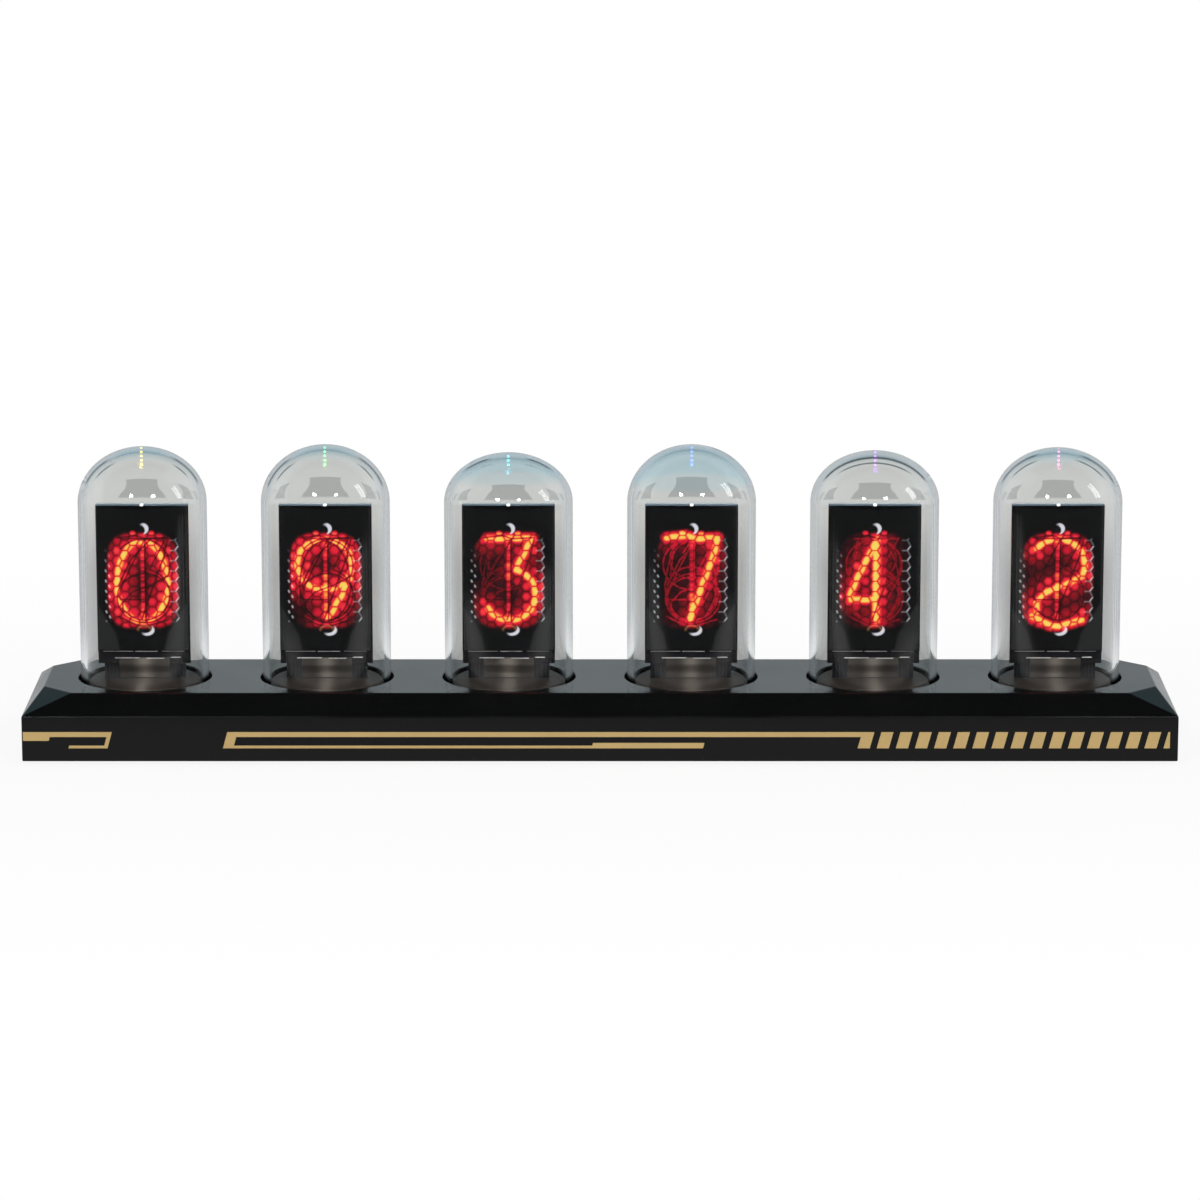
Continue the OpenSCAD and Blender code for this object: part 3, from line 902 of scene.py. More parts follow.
# painted highlight streak in the middle of each tube, over the flex's own brown
FLEX = HighlightStreaked(
    "flex_brown",
    (0.04, 0.034, 0.03),
    roughness=0.4,
    specular=0.1,
    streak=(0.155, 0.134, 0.117),
    half_width=4.9 * MM,
)
CHIP = Finish("chip_epoxy", (0.018, 0.018, 0.019), roughness=0.55, smear=0.08, grain=0.1 * MM)
CONTACT = Finish(
    "contact_gold", (0.72, 0.5, 0.2), roughness=0.26, smear=0.08, shade=0.1, metallic=1.0, depth=0.001 * MM
)
PRINT = Finish("board_print", (0.62, 0.62, 0.6), roughness=0.6, shade=0.1, depth=0.0)
CREAM = Finish("cream_plastic", (0.6, 0.58, 0.5), roughness=0.4, smear=0.1, shade=0.08)
FILM = LitFilm("display_film", (0.0035, 0.0037, 0.004), roughness=0.1, specular=0.12, depth=0.0)


def settle(piece: bpy.types.Object, body: str, slot: str, finish: Finish, *nodes: str) -> None:
    """Gives a finished piece its material and its body, and hides the CAD nodes that it stands for.

    Args:
        piece: The finished object.
        body: CAD body that it moves with.
        slot: Material slot of the record; not used.
        finish: Finish of the surface.
        *nodes: CAD nodes that it replaces.
    """
    piece.data.materials.clear()
    piece.data.materials.append(finish.material())
    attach(piece, body)
    if nodes:
        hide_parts(*nodes)
    log.info("%s on %s in %s: %d faces", piece.name, body, finish.name, len(piece.data.polygons))


def dress(finish: Finish, *nodes: str) -> None:
    """Gives CAD nodes that keep their shape a better material.

    Args:
        finish: Finish of their surface.
        *nodes: The CAD nodes.
    """
    for node in nodes:
        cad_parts[node].material_slots[0].material = finish.material()
        log.info("%s in %s", node, finish.name)


# Digits in the lit pictures, in mm to the right of the middle and below the panel's top edge


@dataclass(frozen=True)
class Bar:
    """Straight strokes through a few points.

    Attributes:
        points: The points.
    """

    points: tuple[Point, ...]

    def path(self) -> np.ndarray:
        """Gives the points that the stroke follows."""
        return np.array(self.points)


@dataclass(frozen=True)
class Bow:
    """Arc of an ellipse, from one angle to another, clockwise from its right end.

    Attributes:
        middle: Middle of the ellipse.
        half_width: Half its width.
        half_height: Half its height.
        start: Angle where the arc starts, in degrees.
        end: Angle where the arc ends, in degrees.
        count: Number of points on the arc.
    """

    middle: Point
    half_width: float
    half_height: float
    start: float = 0
    end: float = 360
    count: int = 49

    def path(self) -> np.ndarray:
        """Gives the points that the stroke follows.

        Returns:
            The points, one row each.
        """
        angles = np.radians(np.linspace(self.start, self.end, self.count))
        across = self.middle[0] + self.half_width * np.cos(angles)
        return np.column_stack((across, self.middle[1] + self.half_height * np.sin(angles)))


@dataclass(frozen=True)
class Fade:
    """Smooth change of light from none at one value to its full share at another.

    Attributes:
        start: Value where the light starts.
        full: Value where the light is full.
        share: The full light.
    """

    start: float
    full: float
    share: float = 1.0

    def of(self, value: np.ndarray) -> np.ndarray:
        """Gives the light at each value.

        Args:
            value: The values.

        Returns:
            The light, from 0 to the full share.
        """
        way = np.clip((value - self.start) / (self.full - self.start), 0, 1)
        return self.share * (way * way * (3 - 2 * way))


def lifted(least: float, light: np.ndarray) -> np.ndarray:
    """Lifts light from 0 to 1 so that it starts at a least share."""
    return least + (1 - least) * light


def distance_to(path: np.ndarray, x: np.ndarray, drop: np.ndarray) -> np.ndarray:
    """Measures how far points lie from a path of straight pieces.

    Args:
        path: Points of the path, one row each.
        x: Places to the right of the middle.
        drop: Places below the top edge.

    Returns:
        The distances, in mm.
    """
    nearest = np.full(x.shape, np.inf)
    for (ax, ay), (bx, by) in zip(path, path[1:]):
        dx, dy = bx - ax, by - ay
        along = np.clip(((x - ax) * dx + (drop - ay) * dy) / (dx * dx + dy * dy), 0, 1)
        nearest = np.minimum(nearest, np.hypot(x - ax - along * dx, drop - ay - along * dy))
    return nearest


class Cathode(Enum):
    """The wire digits of a tube as their strokes, from the front of the stack to its rear."""

    SEVEN = (
        Bar(((-4.7, 6.3), (-1.0, 5.9), (0.6, 6.5), (4.9, 6.3), (4.1, 10.0), (1.9, 16.0), (-0.3, 22.3))),
    )
    FOUR = (
        Bar(((0.5, 22.6), (0.5, 6.6), (-2.2, 12.0), (-3.7, 15.2), (-4.6, 17.6), (-4.3, 18.4), (0.6, 18.4))),
    )
    THREE = (Bar(((-4.0, 6.5), (4.5, 6.4), (1.4, 12.4))), Bow((0.2, 17.4), 4.9, 5.0, -75, 148))
    TWO = (
        Bow((0.0, 11.7), 5.2, 5.1, -140, 25),
        Bar(((4.7, 13.8), (1.7, 15.5), (-2.0, 16.9), (-3.9, 19.0), (-3.8, 20.8))),
        Bar(((-4.7, 21.7), (-1.3, 23.4), (0.7, 23.6), (4.8, 22.3))),
    )
    SIX = (Bow((0.3, 18.1), 5.2, 4.8), Bar(((-4.6, 15.6), (-2.2, 10.6), (1.6, 6.6))))
    ZERO = (Bow((-0.1, 15.0), 4.9, 7.7, 0, 180), Bow((-0.1, 15.0), 4.7, 8.0, 180, 360))
    NINE = (Bow((-0.2, 11.5), 5.2, 4.9), Bar(((4.6, 14.2), (2.4, 18.6), (0.2, 22.4))))
    FIVE = (Bar(((4.0, 6.6), (-3.2, 6.6), (-4.0, 13.6))), Bow((-0.1, 17.2), 4.8, 5.2, -140, 145))
    EIGHT = (Bow((0.0, 10.4), 4.1, 3.9), Bow((0.0, 18.2), 4.8, 4.2))
    ONE = (Bar(((-1.6, 9.2), (0.2, 6.6), (0.2, 22.6))),)

    def distance(self, x: np.ndarray, drop: np.ndarray) -> np.ndarray:
        """Measures how far points lie from the strokes.

        Args:
            x: Places to the right of the middle.
            drop: Places below the top edge.

        Returns:
            The distances, in mm.
        """
        return np.minimum.reduce([distance_to(stroke.path(), x, drop) for stroke in self.value])

    def depth(self) -> int:
        """Counts the digits that stand in front of this one."""
        return list(Cathode).index(self)


SHOWN = (Cathode.ZERO, Cathode.NINE, Cathode.THREE, Cathode.SEVEN, Cathode.FOUR, Cathode.TWO)


@dataclass(frozen=True)
class Screen:
    """Bent honeycomb screen in front of the cathodes, in mm.

    Attributes:
        pitch: Distance between the level sides of a cell.
        bend: Radius that the screen is bent to.
        bend_limit: Largest angle that the bend is followed to, in radians.
        first_row: Level of the first row of level sides, with the others a pitch apart.
        wire: Distances from the middle of a wire between which it stops shading.
        wire_light: Share of the light that a wire lets through.
        half_width: Half the width of the part that is lit.
        half_height: Half the height of that part.
        waist: Level of that part's middle.
        edge: How the light ends at its edge, on the fourth power of the share of the way to it.
    """

    pitch: float = 2.0
    bend: float = 8.6
    bend_limit: float = 1.5
    first_row: float = 6.8
    wire: Fade = Fade(0.03, 0.23)
    wire_light: float = 0.55
    half_width: float = 7.0
    half_height: float = 9.5
    waist: float = 14.7
    edge: Fade = Fade(1.1, 0.7)

    def cells(self, x: np.ndarray, drop: np.ndarray) -> tuple[np.ndarray, ...]:
        """Finds the honeycomb cell of each point.

        Args:
            x: Places to the right of the middle.
            drop: Places below the top edge.

        Returns:
            The cell's middle in x and drop, and the distance from the cell's wires.
        """
        cell = np.array((math.sqrt(3) * self.pitch, self.pitch))
        top = self.first_row + self.pitch / 2
        bent = self.bend * np.arcsin(np.clip(x / self.bend, -1, 1))
        place = np.column_stack((bent, drop - top))
        offsets = [p - np.round(p / cell) * cell for p in (place, place - cell / 2)]
        first = np.hypot(*offsets[0].T) < np.hypot(*offsets[1].T)
        inside = np.abs(np.where(first[:, None], *offsets))
        middle = np.where(first[:, None], place - offsets[0], place - offsets[1])
        edge = np.maximum(inside[:, 1], inside @ np.array((math.sqrt(3) / 2, 0.5)))
        turn = np.clip(middle[:, 0] / self.bend, -self.bend_limit, self.bend_limit)
        return self.bend * np.sin(turn), middle[:, 1] + top, self.pitch / 2 - edge

    def window(self, x: np.ndarray, drop: np.ndarray) -> np.ndarray:
        """Gives 1 on the part of the screen that is lit, and fades to 0 at its edge."""
        across, along = x / self.half_width, (drop - self.waist) / self.half_height
        return self.edge.of(across**4 + along**4)

    def shade(self, room: np.ndarray) -> np.ndarray:
        """Gives the share of the light that passes at a distance from the cells' wires."""
        return lifted(self.wire_light, self.wire.of(room))


@dataclass(frozen=True)
class Glints:
    """White shine on the screen's sides and on the two end caps of the tube, in mm.

    Attributes:
        right_sides: Ends of a cell's shining sides at the right, from the row's level, and their light.
        left_columns: Places of the two columns of dashes at the left.
        left_dash: Ends of a dash, from the middle of its place.
        left_light: Light of a dash, by the distance from it.
        left_rise: How the dashes get brighter downwards.
        top: How the shine starts below the first row, by the distance from it.
        end: How the shine ends at the last row.
        caps: Middle of each cap, middle of the shade on it, and how far it is squeezed across.
        cap_disc: Light of a cap, by the distance from its middle.
        cap_shade: Light of a cap, by the distance from the shade's middle.
        cap_side: Light of a cap, from its left to its right.
    """

    right_sides: tuple[tuple[tuple[Point, ...], Fade], ...] = (
        (((5.3, 0.0), (6.2, 0.0)), Fade(0.2, 0.04, 0.2)),
        (((6.3, -0.15), (6.75, -0.8)), Fade(0.19, 0.05, 0.6)),
        (((6.3, 0.1), (6.7, 0.9)), Fade(0.2, 0.05, 0.16)),
    )
    left_columns: tuple[float, float] = (-6.35, -7.0)
    left_dash: tuple[Point, ...] = ((-0.07, -0.18), (0.07, 0.14))
    left_light: Fade = Fade(0.19, 0.06, 0.6)
    left_rise: Fade = Fade(7.5, 15.0)
    top: Fade = Fade(-0.6, 0.6)
    end: Fade = Fade(23.0, 22.2)
    caps: tuple[tuple[Point, Point, float], ...] = (
        ((0.2, 4.55), (-0.42, 4.85), 1.0),
        ((0.65, 24.4), (0.3, 23.95), 0.75),
    )
    cap_disc: Fade = Fade(1.15, 0.95)
    cap_shade: Fade = Fade(0.92, 1.08)
    cap_side: Fade = Fade(-0.6, 0.5)

    def light(self, screen: Screen, x: np.ndarray, drop: np.ndarray) -> np.ndarray:
        """Measures the shine.

        Args:
            screen: The screen that shines.
            x: Places to the right of the middle.
            drop: Places below the top edge.

        Returns:
            The shine at each point, from 0 to 1.
        """
        half = screen.pitch / 2
        below = drop - screen.first_row
        row = np.mod(below + half, screen.pitch) - half
        half_row = np.mod(below, screen.pitch) - half
        shine = sum(fade.of(distance_to(path, x, row)) for path, fade in self.right_sides)
        for column, wave in zip(self.left_columns, (half_row, row)):
            dash = distance_to(self.left_dash, x - column, wave)
            shine += self.left_rise.of(drop) * self.left_light.of(dash)
        shine *= self.top.of(below) * self.end.of(drop)
        for middle, shade, squeeze in self.caps:
            disc, ball = (np.hypot((x - c[0]) * squeeze, drop - c[1]) for c in (middle, shade))
            shine += self.cap_disc.of(disc) * self.cap_shade.of(ball) * self.cap_side.of(x)
        return np.clip(shine, 0, 1)


@dataclass(frozen=True)
class Rod:
    """Ribbed rod that holds the cathodes, and the lit sides of the cap above it, in mm.

    Attributes:
        light: Mean light on the rod.
        rib_light: How far a rib changes that light.
        rib_pitch: Distance between ribs.
        width: Light across the rod, by the distance from its middle.
        top: How the light starts at the rod's upper end.
        end: How the light ends at its lower end.
        cap: Place of the cap's right side, with the left one like it.
        cap_squeeze: How far the cap's sides are squeezed in height.
        cap_light: Light of the cap's sides, by the distance from their middles.
    """

    light: float = 0.30
    rib_light: float = 0.07
    rib_pitch: float = 0.97
    width: Fade = Fade(0.5, 0.2)
    top: Fade = Fade(6.6, 8.0)
    end: Fade = Fade(22.8, 21.5)
    cap: Point = (1.8, 5.4)
    cap_squeeze: float = 1.2
    cap_light: Fade = Fade(0.8, 0.3, 0.5)

    def heat(self, x: np.ndarray, drop: np.ndarray) -> np.ndarray:
        """Measures the light on the rod and on the cap's sides.

        Args:
            x: Places to the right of the middle.
            drop: Places below the top edge.

        Returns:
            The glow at each point.
        """
        ribs = self.light + self.rib_light * np.cos(drop * math.tau / self.rib_pitch)
        post = ribs * self.width.of(np.abs(x)) * self.top.of(drop) * self.end.of(drop)
        side, level = self.cap
        return post + self.cap_light.of(np.hypot(np.abs(x) - side, (drop - level) * self.cap_squeeze))


@dataclass(frozen=True)
class TubePicture:
    """Picture of a glowing cathode behind a screen, painted point by point in mm.

    What depends on how deep the cathode stands is given with its change for every digit in front.

    Attributes:
        lit: The cathode that glows.
        screen: The screen in front of it.
        rod: The rod that holds the cathodes.
        glints: White shine on the screen and the caps.
        cell_glow: Glow of a lit cell.
        cell_reach: How far lit cells lie from the cathode.
        cell_edge: Distances from there where lit cells end and are full.
        cell_least: Share of a cell's glow right at its wires.
        blob: Light within a cell, by the distance from its wires.
        mottle: Mean share of glow in a cell, how far cells differ, and how fast across and down.
        far_fill: Glow of the cells far around the cathode, by their distance.
        near_fill: Glow around the cathode, by the distance from it.
        near_reach: How much further that glow reaches with each digit in front.
        fill_share: Share of both glows that is seen.
        fill_least: Share of them right at a cell's wires.
        halo: Glow beside the cathode, by the distance from it.
        core: Glow on the cathode, by the distance from it.
        core_least: Share of it right at a cell's wires.
        line: Light on an unlit cathode, by the distance from it.
        front_shade: Share of the light that an unlit cathode in front takes away.
        rear_glow: Glow of an unlit cathode behind the lit one.
        rear_reach: Distance over which that glow fades.
        tones: Red, green and blue for a rising glow, and the glows that they belong to.
        ring: Middle of the brass ring on the lower cap.
        ring_squeeze: How far the ring is squeezed across.
        ring_light: Light on the ring, inwards from its outer edge and outwards from its inner edge.
        ring_end: How the light ends at the lower half of the ring.
        ring_tone: Colour of the ring.
        shine_tone: Colour of the white shine.
        neck: Half widths of the darker middle shape low in the picture, and the levels that they belong to.
        neck_middle: Middle of that shape.
        backdrop: Light beside that shape, by the distance from its outline.
    """

    lit: Cathode
    screen: Screen = Screen()
    rod: Rod = Rod()
    glints: Glints = Glints()
    cell_glow: float = 0.62
    cell_reach: tuple[float, float] = (1.5, 0.24)
    cell_edge: tuple[float, float] = (1.0, -0.6)
    cell_least: float = 0.4
    blob: Fade = Fade(0.02, 0.7)
    mottle: tuple[float, float, float, float] = (0.85, 0.25, 5.1, 3.7)
    far_fill: Fade = Fade(7.5, 1.0, 0.26)
    near_fill: Fade = Fade(3.6, 0.5, 0.34)
    near_reach: float = 0.25
    fill_share: tuple[float, float] = (0.56, 0.075)
    fill_least: float = 0.75
    halo: Fade = Fade(1.6, 0.7, 0.58)
    core: Fade = Fade(0.8, 0.25, 0.68)
    core_least: float = 0.55
    line: Fade = Fade(0.25, 0.08)
    front_shade: float = 0.55
    rear_glow: tuple[float, float] = (0.52, -0.1)
    rear_reach: float = 10.0
    tones: tuple[tuple[float, ...], ...] = (
        (0.0, 0.05, 0.29, 0.77, 0.95, 1.0, 1.0, 1.0),
        (0.0, 0.002, 0.003, 0.008, 0.035, 0.17, 0.42, 0.70),
        (0.0, 0.004, 0.010, 0.034, 0.046, 0.04, 0.05, 0.12),
        (0.0, 0.12, 0.30, 0.50, 0.66, 0.82, 0.96, 1.15),
    )
    ring: Point = (0.15, 24.35)
    ring_squeeze: float = 0.7
    ring_light: tuple[Fade, Fade] = (Fade(1.1, 0.95), Fade(0.6, 0.8))
    ring_end: Fade = Fade(24.8, 24.1)
    ring_tone: Colour = (0.16, 0.07, 0.025)
    shine_tone: Colour = (0.72, 0.72, 0.78)
    neck: tuple[tuple[float, ...], tuple[float, ...]] = ((8.6, 6.2, 5.0, 4.1), (19, 23, 25, 29))
    neck_middle: float = -0.3
    backdrop: Fade = Fade(-0.3, 0.3, 0.015)

    def at_depth(self, value: tuple[float, float]) -> float:
        """Gives a value at the depth of the lit cathode."""
        return value[0] + value[1] * self.lit.depth()

    def heat(self, x: np.ndarray, drop: np.ndarray) -> np.ndarray:
        """Measures the glow, from 0 where it is dark to a little over 1 on the lit cathode.

        Args:
            x: Places to the right of the middle.
            drop: Places below the top edge.

        Returns:
            The glow at each point.
        """
        cell_x, cell_drop, room = self.screen.cells(x, drop)
        near = self.lit.distance(x, drop)
        cell_near = self.lit.distance(cell_x, cell_drop)
        mean, change, by_x, by_drop = self.mottle
        uneven = mean + change * np.sin(by_x * cell_x + by_drop * cell_drop)
        blob = self.blob.of(room)
        end, full = (self.at_depth(self.cell_reach) + edge for edge in self.cell_edge)
        cells = uneven * Fade(end, full, self.cell_glow).of(cell_near) * lifted(self.cell_least, blob)
        near_start = self.at_depth((self.near_fill.start, self.near_reach))
        fill = self.far_fill.of(cell_near) + replace(self.near_fill, start=near_start).of(near)
        wash = fill * self.at_depth(self.fill_share) * lifted(self.fill_least, blob)
        glow = np.maximum(np.maximum(cells, wash) * self.screen.window(x, drop), self.halo.of(near))
        glow += self.core.of(near) * lifted(self.core_least, blob) + self.rod.heat(x, drop)
        for digit in Cathode:
            unlit = self.line.of(digit.distance(x, drop))
            if digit.depth() < self.lit.depth():
                glow *= 1 - self.front_shade * unlit
            elif digit.depth() > self.lit.depth():
                rear = unlit * self.at_depth(self.rear_glow) * np.exp(-near / self.rear_reach)
                glow = np.maximum(glow, rear)
        return glow * self.screen.shade(room)

    def paint(self, x: np.ndarray, drop: np.ndarray) -> np.ndarray:
        """Paints the picture.

        Args:
            x: Places to the right of the middle.
            drop: Places below the top edge.

        Returns:
            One row of red, green, blue and 1 for each point.
        """
        *tones, glows = self.tones
        heat = self.heat(x, drop)
        light = np.column_stack([np.interp(heat, glows, tone) for tone in tones])
        ring = np.hypot((x - self.ring[0]) * self.ring_squeeze, drop - self.ring[1])
        outer, inner = self.ring_light
        arc = outer.of(ring) * inner.of(ring) * self.ring_end.of(drop)
        light += np.outer(arc, self.ring_tone)
        light += np.outer(self.glints.light(self.screen, x, drop), self.shine_tone)
        widths, levels = self.neck
        beside = np.abs(x - self.neck_middle) - np.interp(drop, levels, widths)
        light += self.backdrop.of(beside)[:, None]
        return np.column_stack((light, np.ones(len(x))))


# Sub-assemblies


class LedColour(Enum):
    """Colours of the LEDs, from the left."""

    YELLOW = (1.0, 0.75, 0.05)
    GREEN = (0.1, 1.0, 0.12)
    CYAN = (0.05, 0.8, 1.0)
    BLUE = (0.06, 0.2, 1.0)
    VIOLET = (0.45, 0.08, 1.0)
    PINK = (1.0, 0.12, 0.55)


def tube_middle(index: int) -> Vector:
    """Gives the point on the table under the middle of a tube."""
    low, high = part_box(f"glass_dome_{index}")
    return Vector(((low.x + high.x) / 2, (low.y + high.y) / 2, 0))


@dataclass
class Housing:
    """Faceted black shell with its gold stripes.

    Attributes:
        edge: Rounding of the outer edges.
        segments: Number of faces across the rounding.
        turn: Smallest angle between two faces that is rounded, in degrees.
        near: How close to the outer box an edge lies that is rounded.
    """

    edge: float = 0.25 * MM
    segments: int = 3
    turn: float = 10.0
    near: float = MM / 100

    def outer(self, edge: bmesh.types.BMEdge, high: Vector) -> bool:
        """Tells whether an edge lies on the outside of the shell and is sharp.

        Args:
            edge: The edge to test.
            high: Highest corner of the shell.

        Returns:
            Whether it is rounded.
        """
        x, y, z = high - Vector((self.near, self.near, self.near))
        skin = all(abs(v.co.x) > x or abs(v.co.y) > y or v.co.z > z for v in edge.verts)
        return skin and edge.calc_face_angle(0) > math.radians(self.turn)

    def build(self) -> None:
        """Makes the shell and dresses the stripes."""
        shell = merged_copy("upper_housing", "housing_shell")
        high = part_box("upper_housing")[1]
        with editing(shell):
            pick_edges(shell, lambda edge: self.outer(edge, high))
            bpy.ops.mesh.bevel(
                offset=self.edge, segments=self.segments, affect="EDGES", clamp_overlap=False
            )
        settle(smoothed(shell), BASE, "housing", HOUSING, "upper_housing")
        dress(FOIL, "front_stripes")


@dataclass
class Underside:
    """Bottom cover with its screws and rubber feet."""

    def build(self) -> None:
        """Makes smooth copies of the cover, the feet and the screws."""
        for node, name, slot, finish in (
            ("bottom_cover", "cover_plate", "cover", COVER),
            ("rubber_feet", "foot_pads", "rubber", RUBBER),
            ("cover_screws", "cover_screw_set", "screw_steel", STEEL),
        ):
            settle(smoothed(merged_copy(node, name)), BASE, slot, finish, node)


@dataclass
class RearPanel:
    """Setting keys and power inlet on the rear face.

    Attributes:
        keys: Names of the keys, from the left seen from the front.
        round_edge: Rounding of a key's outer edge.
        round_steps: Number of steps across that rounding.
        dish: Depth of the hollow in a key's face.
        dish_rings: Rings of the hollow, as shares of its radius.
        key_steps: Number of steps round a key.
        shaft: Radius of a key.
        flange_t: Thickness of the flange that keeps a key in.
        blade_t: Thickness of the inlet's blade.
        contacts: Number of contacts on each face of the blade.
        contact_pitch: Distance between two contacts.
        contact_size: Width, length and thickness of a contact.
        contact_gap: Distance from the blade's tip to its contacts.
    """

    keys: tuple[str, ...] = ("mode", "minus", "plus")
    round_edge: float = 0.35 * MM
    round_steps: int = 6
    dish: float = 0.25 * MM
    dish_rings: tuple[float, ...] = (0.75, 0.5, 0.25, 0.0)
    key_steps: int = 64
    shaft: float = 1.8 * MM
    flange_t: float = 0.9 * MM
    blade_t: float = 0.7 * MM
    contacts: int = 10
    contact_pitch: float = 0.6 * MM
    contact_size: tuple[float, float, float] = (0.32 * MM, 2.6 * MM, 0.03 * MM)
    contact_gap: float = 0.4 * MM

    def build(self) -> None:
        """Makes the keys and the inlet."""
        for key in self.keys:
            self.build_key(key)
        settle(smoothed(merged_copy("usb_shell", "inlet_shell")), BASE, "shield_metal", STEEL, "usb_shell")
        settle(smoothed(merged_copy("usb_tongue", "inlet_tongue")), BASE, "chip", CHIP, "usb_tongue")
        self.build_contacts()

    def build_contacts(self) -> None:
        """Lays the gold contacts on both faces of the inlet's blade."""
        low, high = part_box("usb_tongue")
        middle = (low + high) / 2
        width, length, depth = self.contact_size
        tip = high.y - self.contact_gap
        rows = []
        for face in (middle.z - self.blade_t / 2 - depth, middle.z + self.blade_t / 2):
            for k in range(self.contacts):
                x = middle.x + (k - (self.contacts - 1) / 2) * self.contact_pitch - width / 2
                foot, head = (x, tip - length, face), (x + width, tip, face + depth)
                rows.append(block("contact", foot, head, depth / THIN_PART))
        settle(joined("inlet_contacts", rows), BASE, "gold_foil", CONTACT)

    def build_key(self, key: str) -> None:
        """Turns a key with a flange, a rounded edge and a dished face.

        Args:
            key: Name of the key.
        """
        low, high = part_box(f"{key}_button")
        middle = Vector(((low.x + high.x) / 2, low.y, (low.z + high.z) / 2))
        length, flange = high.y - low.y, (high.x - low.x) / 2
        rim = self.shaft - self.round_edge
        corner = [
            (rim + self.round_edge * math.cos(a), length - self.round_edge * (1 - math.sin(a)))
            for a in quarter_turn(self.round_steps)
        ]
        hollow = [(rim * s, length - self.dish * (1 - s * s)) for s in self.dish_rings]
        collar = [(flange, self.flange_t), (self.shaft, self.flange_t)]
        outline = [(0, 0), (flange, 0), *collar, *corner, *hollow]
        piece = turned(f"{key}_key", outline, middle, Axis.REAR, self.key_steps)
        settle(smoothed(piece), f"{key}_key", "key", KEY, f"{key}_button")


@dataclass
class GlassDome:
    """Loose glass dome of one tube, turned as one closed wall.

    Attributes:
        index: Number of the tube, from the left.
        tint: Colour of the glass.
        smear: How much rougher smudges make the glass.
        shade: How far the tone changes its colour.
        sky_lines: Height where the painted blue sky reflection starts on each dome's crown.
        sky_reach: How far that change reaches.
        shoulders: Lower end, gap and turn of the painted shade lines near each crown's outline, with a
            lower end
        above the crown where it has none.
        eye: Distance of the eye in front of the row, which the painted dashes of the LED's reflection show
            upright to.
        wall: Thickness of the glass.
        head: Straight glass above the panel's top edge.
        rim: Rounding of the ground rim.
        ring: Distance from the ends of the straight wall to the rings that keep it straight.
        rim_steps: Number of steps across each half of that rounding.
        arc_steps: Number of steps from the wall up to the top.
        round_steps: Number of steps round the axis.
    """

    index: int
    tint: Colour = (0.97, 0.985, 0.98)
    smear: float = 0.012
    shade: float = 0.01
    sky_lines: tuple[float, ...] = (0.0566, 0.0567, 0.0522, 0.0512, 0.0572, 0.0558)
    sky_reach: float = 0.8 * MM
    shoulders: tuple[tuple[float, float, float], ...] = (
        (0.0508, 0.0050, 0.64),
        (0.0502, 0.0055, 0.64),
        (0.0530, 0.0025, 0.67),
        (0.0600, 0.0000, 0.60),
        (0.0515, -0.002, 0.57),
        (0.0508, 0.0030, 0.65),
    )
    eye: float = 1.0
    wall: float = 1.2 * MM
    head: float = 0.2 * MM
    rim: float = 0.35 * MM
    ring: float = 1.0 * MM
    rim_steps: int = 4
    arc_steps: int = 28
    round_steps: int = 128

    def arch(self, radius: float, height: float, spring: float) -> list[Point]:
        """Gives the rounded crown's outline from the wall up to the axis.

        Args:
            radius: Radius of the wall.
            height: Height of the crown.
            spring: Height where the crown starts.

        Returns:
            Points as radius and height.
        """
        angles = quarter_turn(self.arc_steps)[:-1]
        curve = [(radius * math.cos(a), spring + height * math.sin(a)) for a in angles]
        return [*curve, (0.0, spring + height)]

    def build(self) -> None:
        """Makes the dome."""
        middle = tube_middle(self.index)
        low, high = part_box(f"glass_dome_{self.index}")
        radius = (high.y - low.y) / 2
        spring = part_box(f"lcd_panel_{self.index}")[1].z + self.head
        crown = high.z - spring
        outer = self.arch(radius, crown, spring)
        inner = self.arch(radius - self.wall, crown - self.wall, spring)
        angles = quarter_turn(self.rim_steps)
        bends = [(self.rim * (1 - math.sin(a)), self.rim * (1 - math.cos(a))) for a in angles]
        outer_rim = [(radius - inwards, low.z + upwards) for inwards, upwards in bends]
        inner_rim = [(radius - self.wall + outwards, low.z + upwards) for upwards, outwards in bends]
        ends = (low.z + self.rim + self.ring, spring - self.ring)
        outer_wall = [(radius, height) for height in ends]
        inner_wall = [(radius - self.wall, height) for height in ends]
        outline = [*outer[::-1], *outer_wall[::-1], *outer_rim[::-1], *inner_rim[::-1], *inner_wall, *inner]
        piece = turned(f"dome_{self.index}", outline, middle, Axis.UP, self.round_steps)
        take(piece)
        bpy.ops.object.shade_smooth()
        light = list(LedColour)[self.index - 1]
        # glass with painted light: sky reflection, shade lines and the LED's reflection in dashes
        glass = ReflectionPaintedGlass(
            f"clear_dome_{light.name.lower()}",
            self.tint,
            roughness=0.0,
            smear=self.smear,
            shade=self.shade,
            depth=0.0,
            sky_line=(self.sky_lines[self.index - 1], self.sky_reach),
            light=light.value,
            middle=middle.x,
            slant=middle.x / self.eye,
            shoulder=self.shoulders[self.index - 1],
        )
        settle(piece, f"dome_{self.index}", "dome_glass", glass, f"glass_dome_{self.index}")


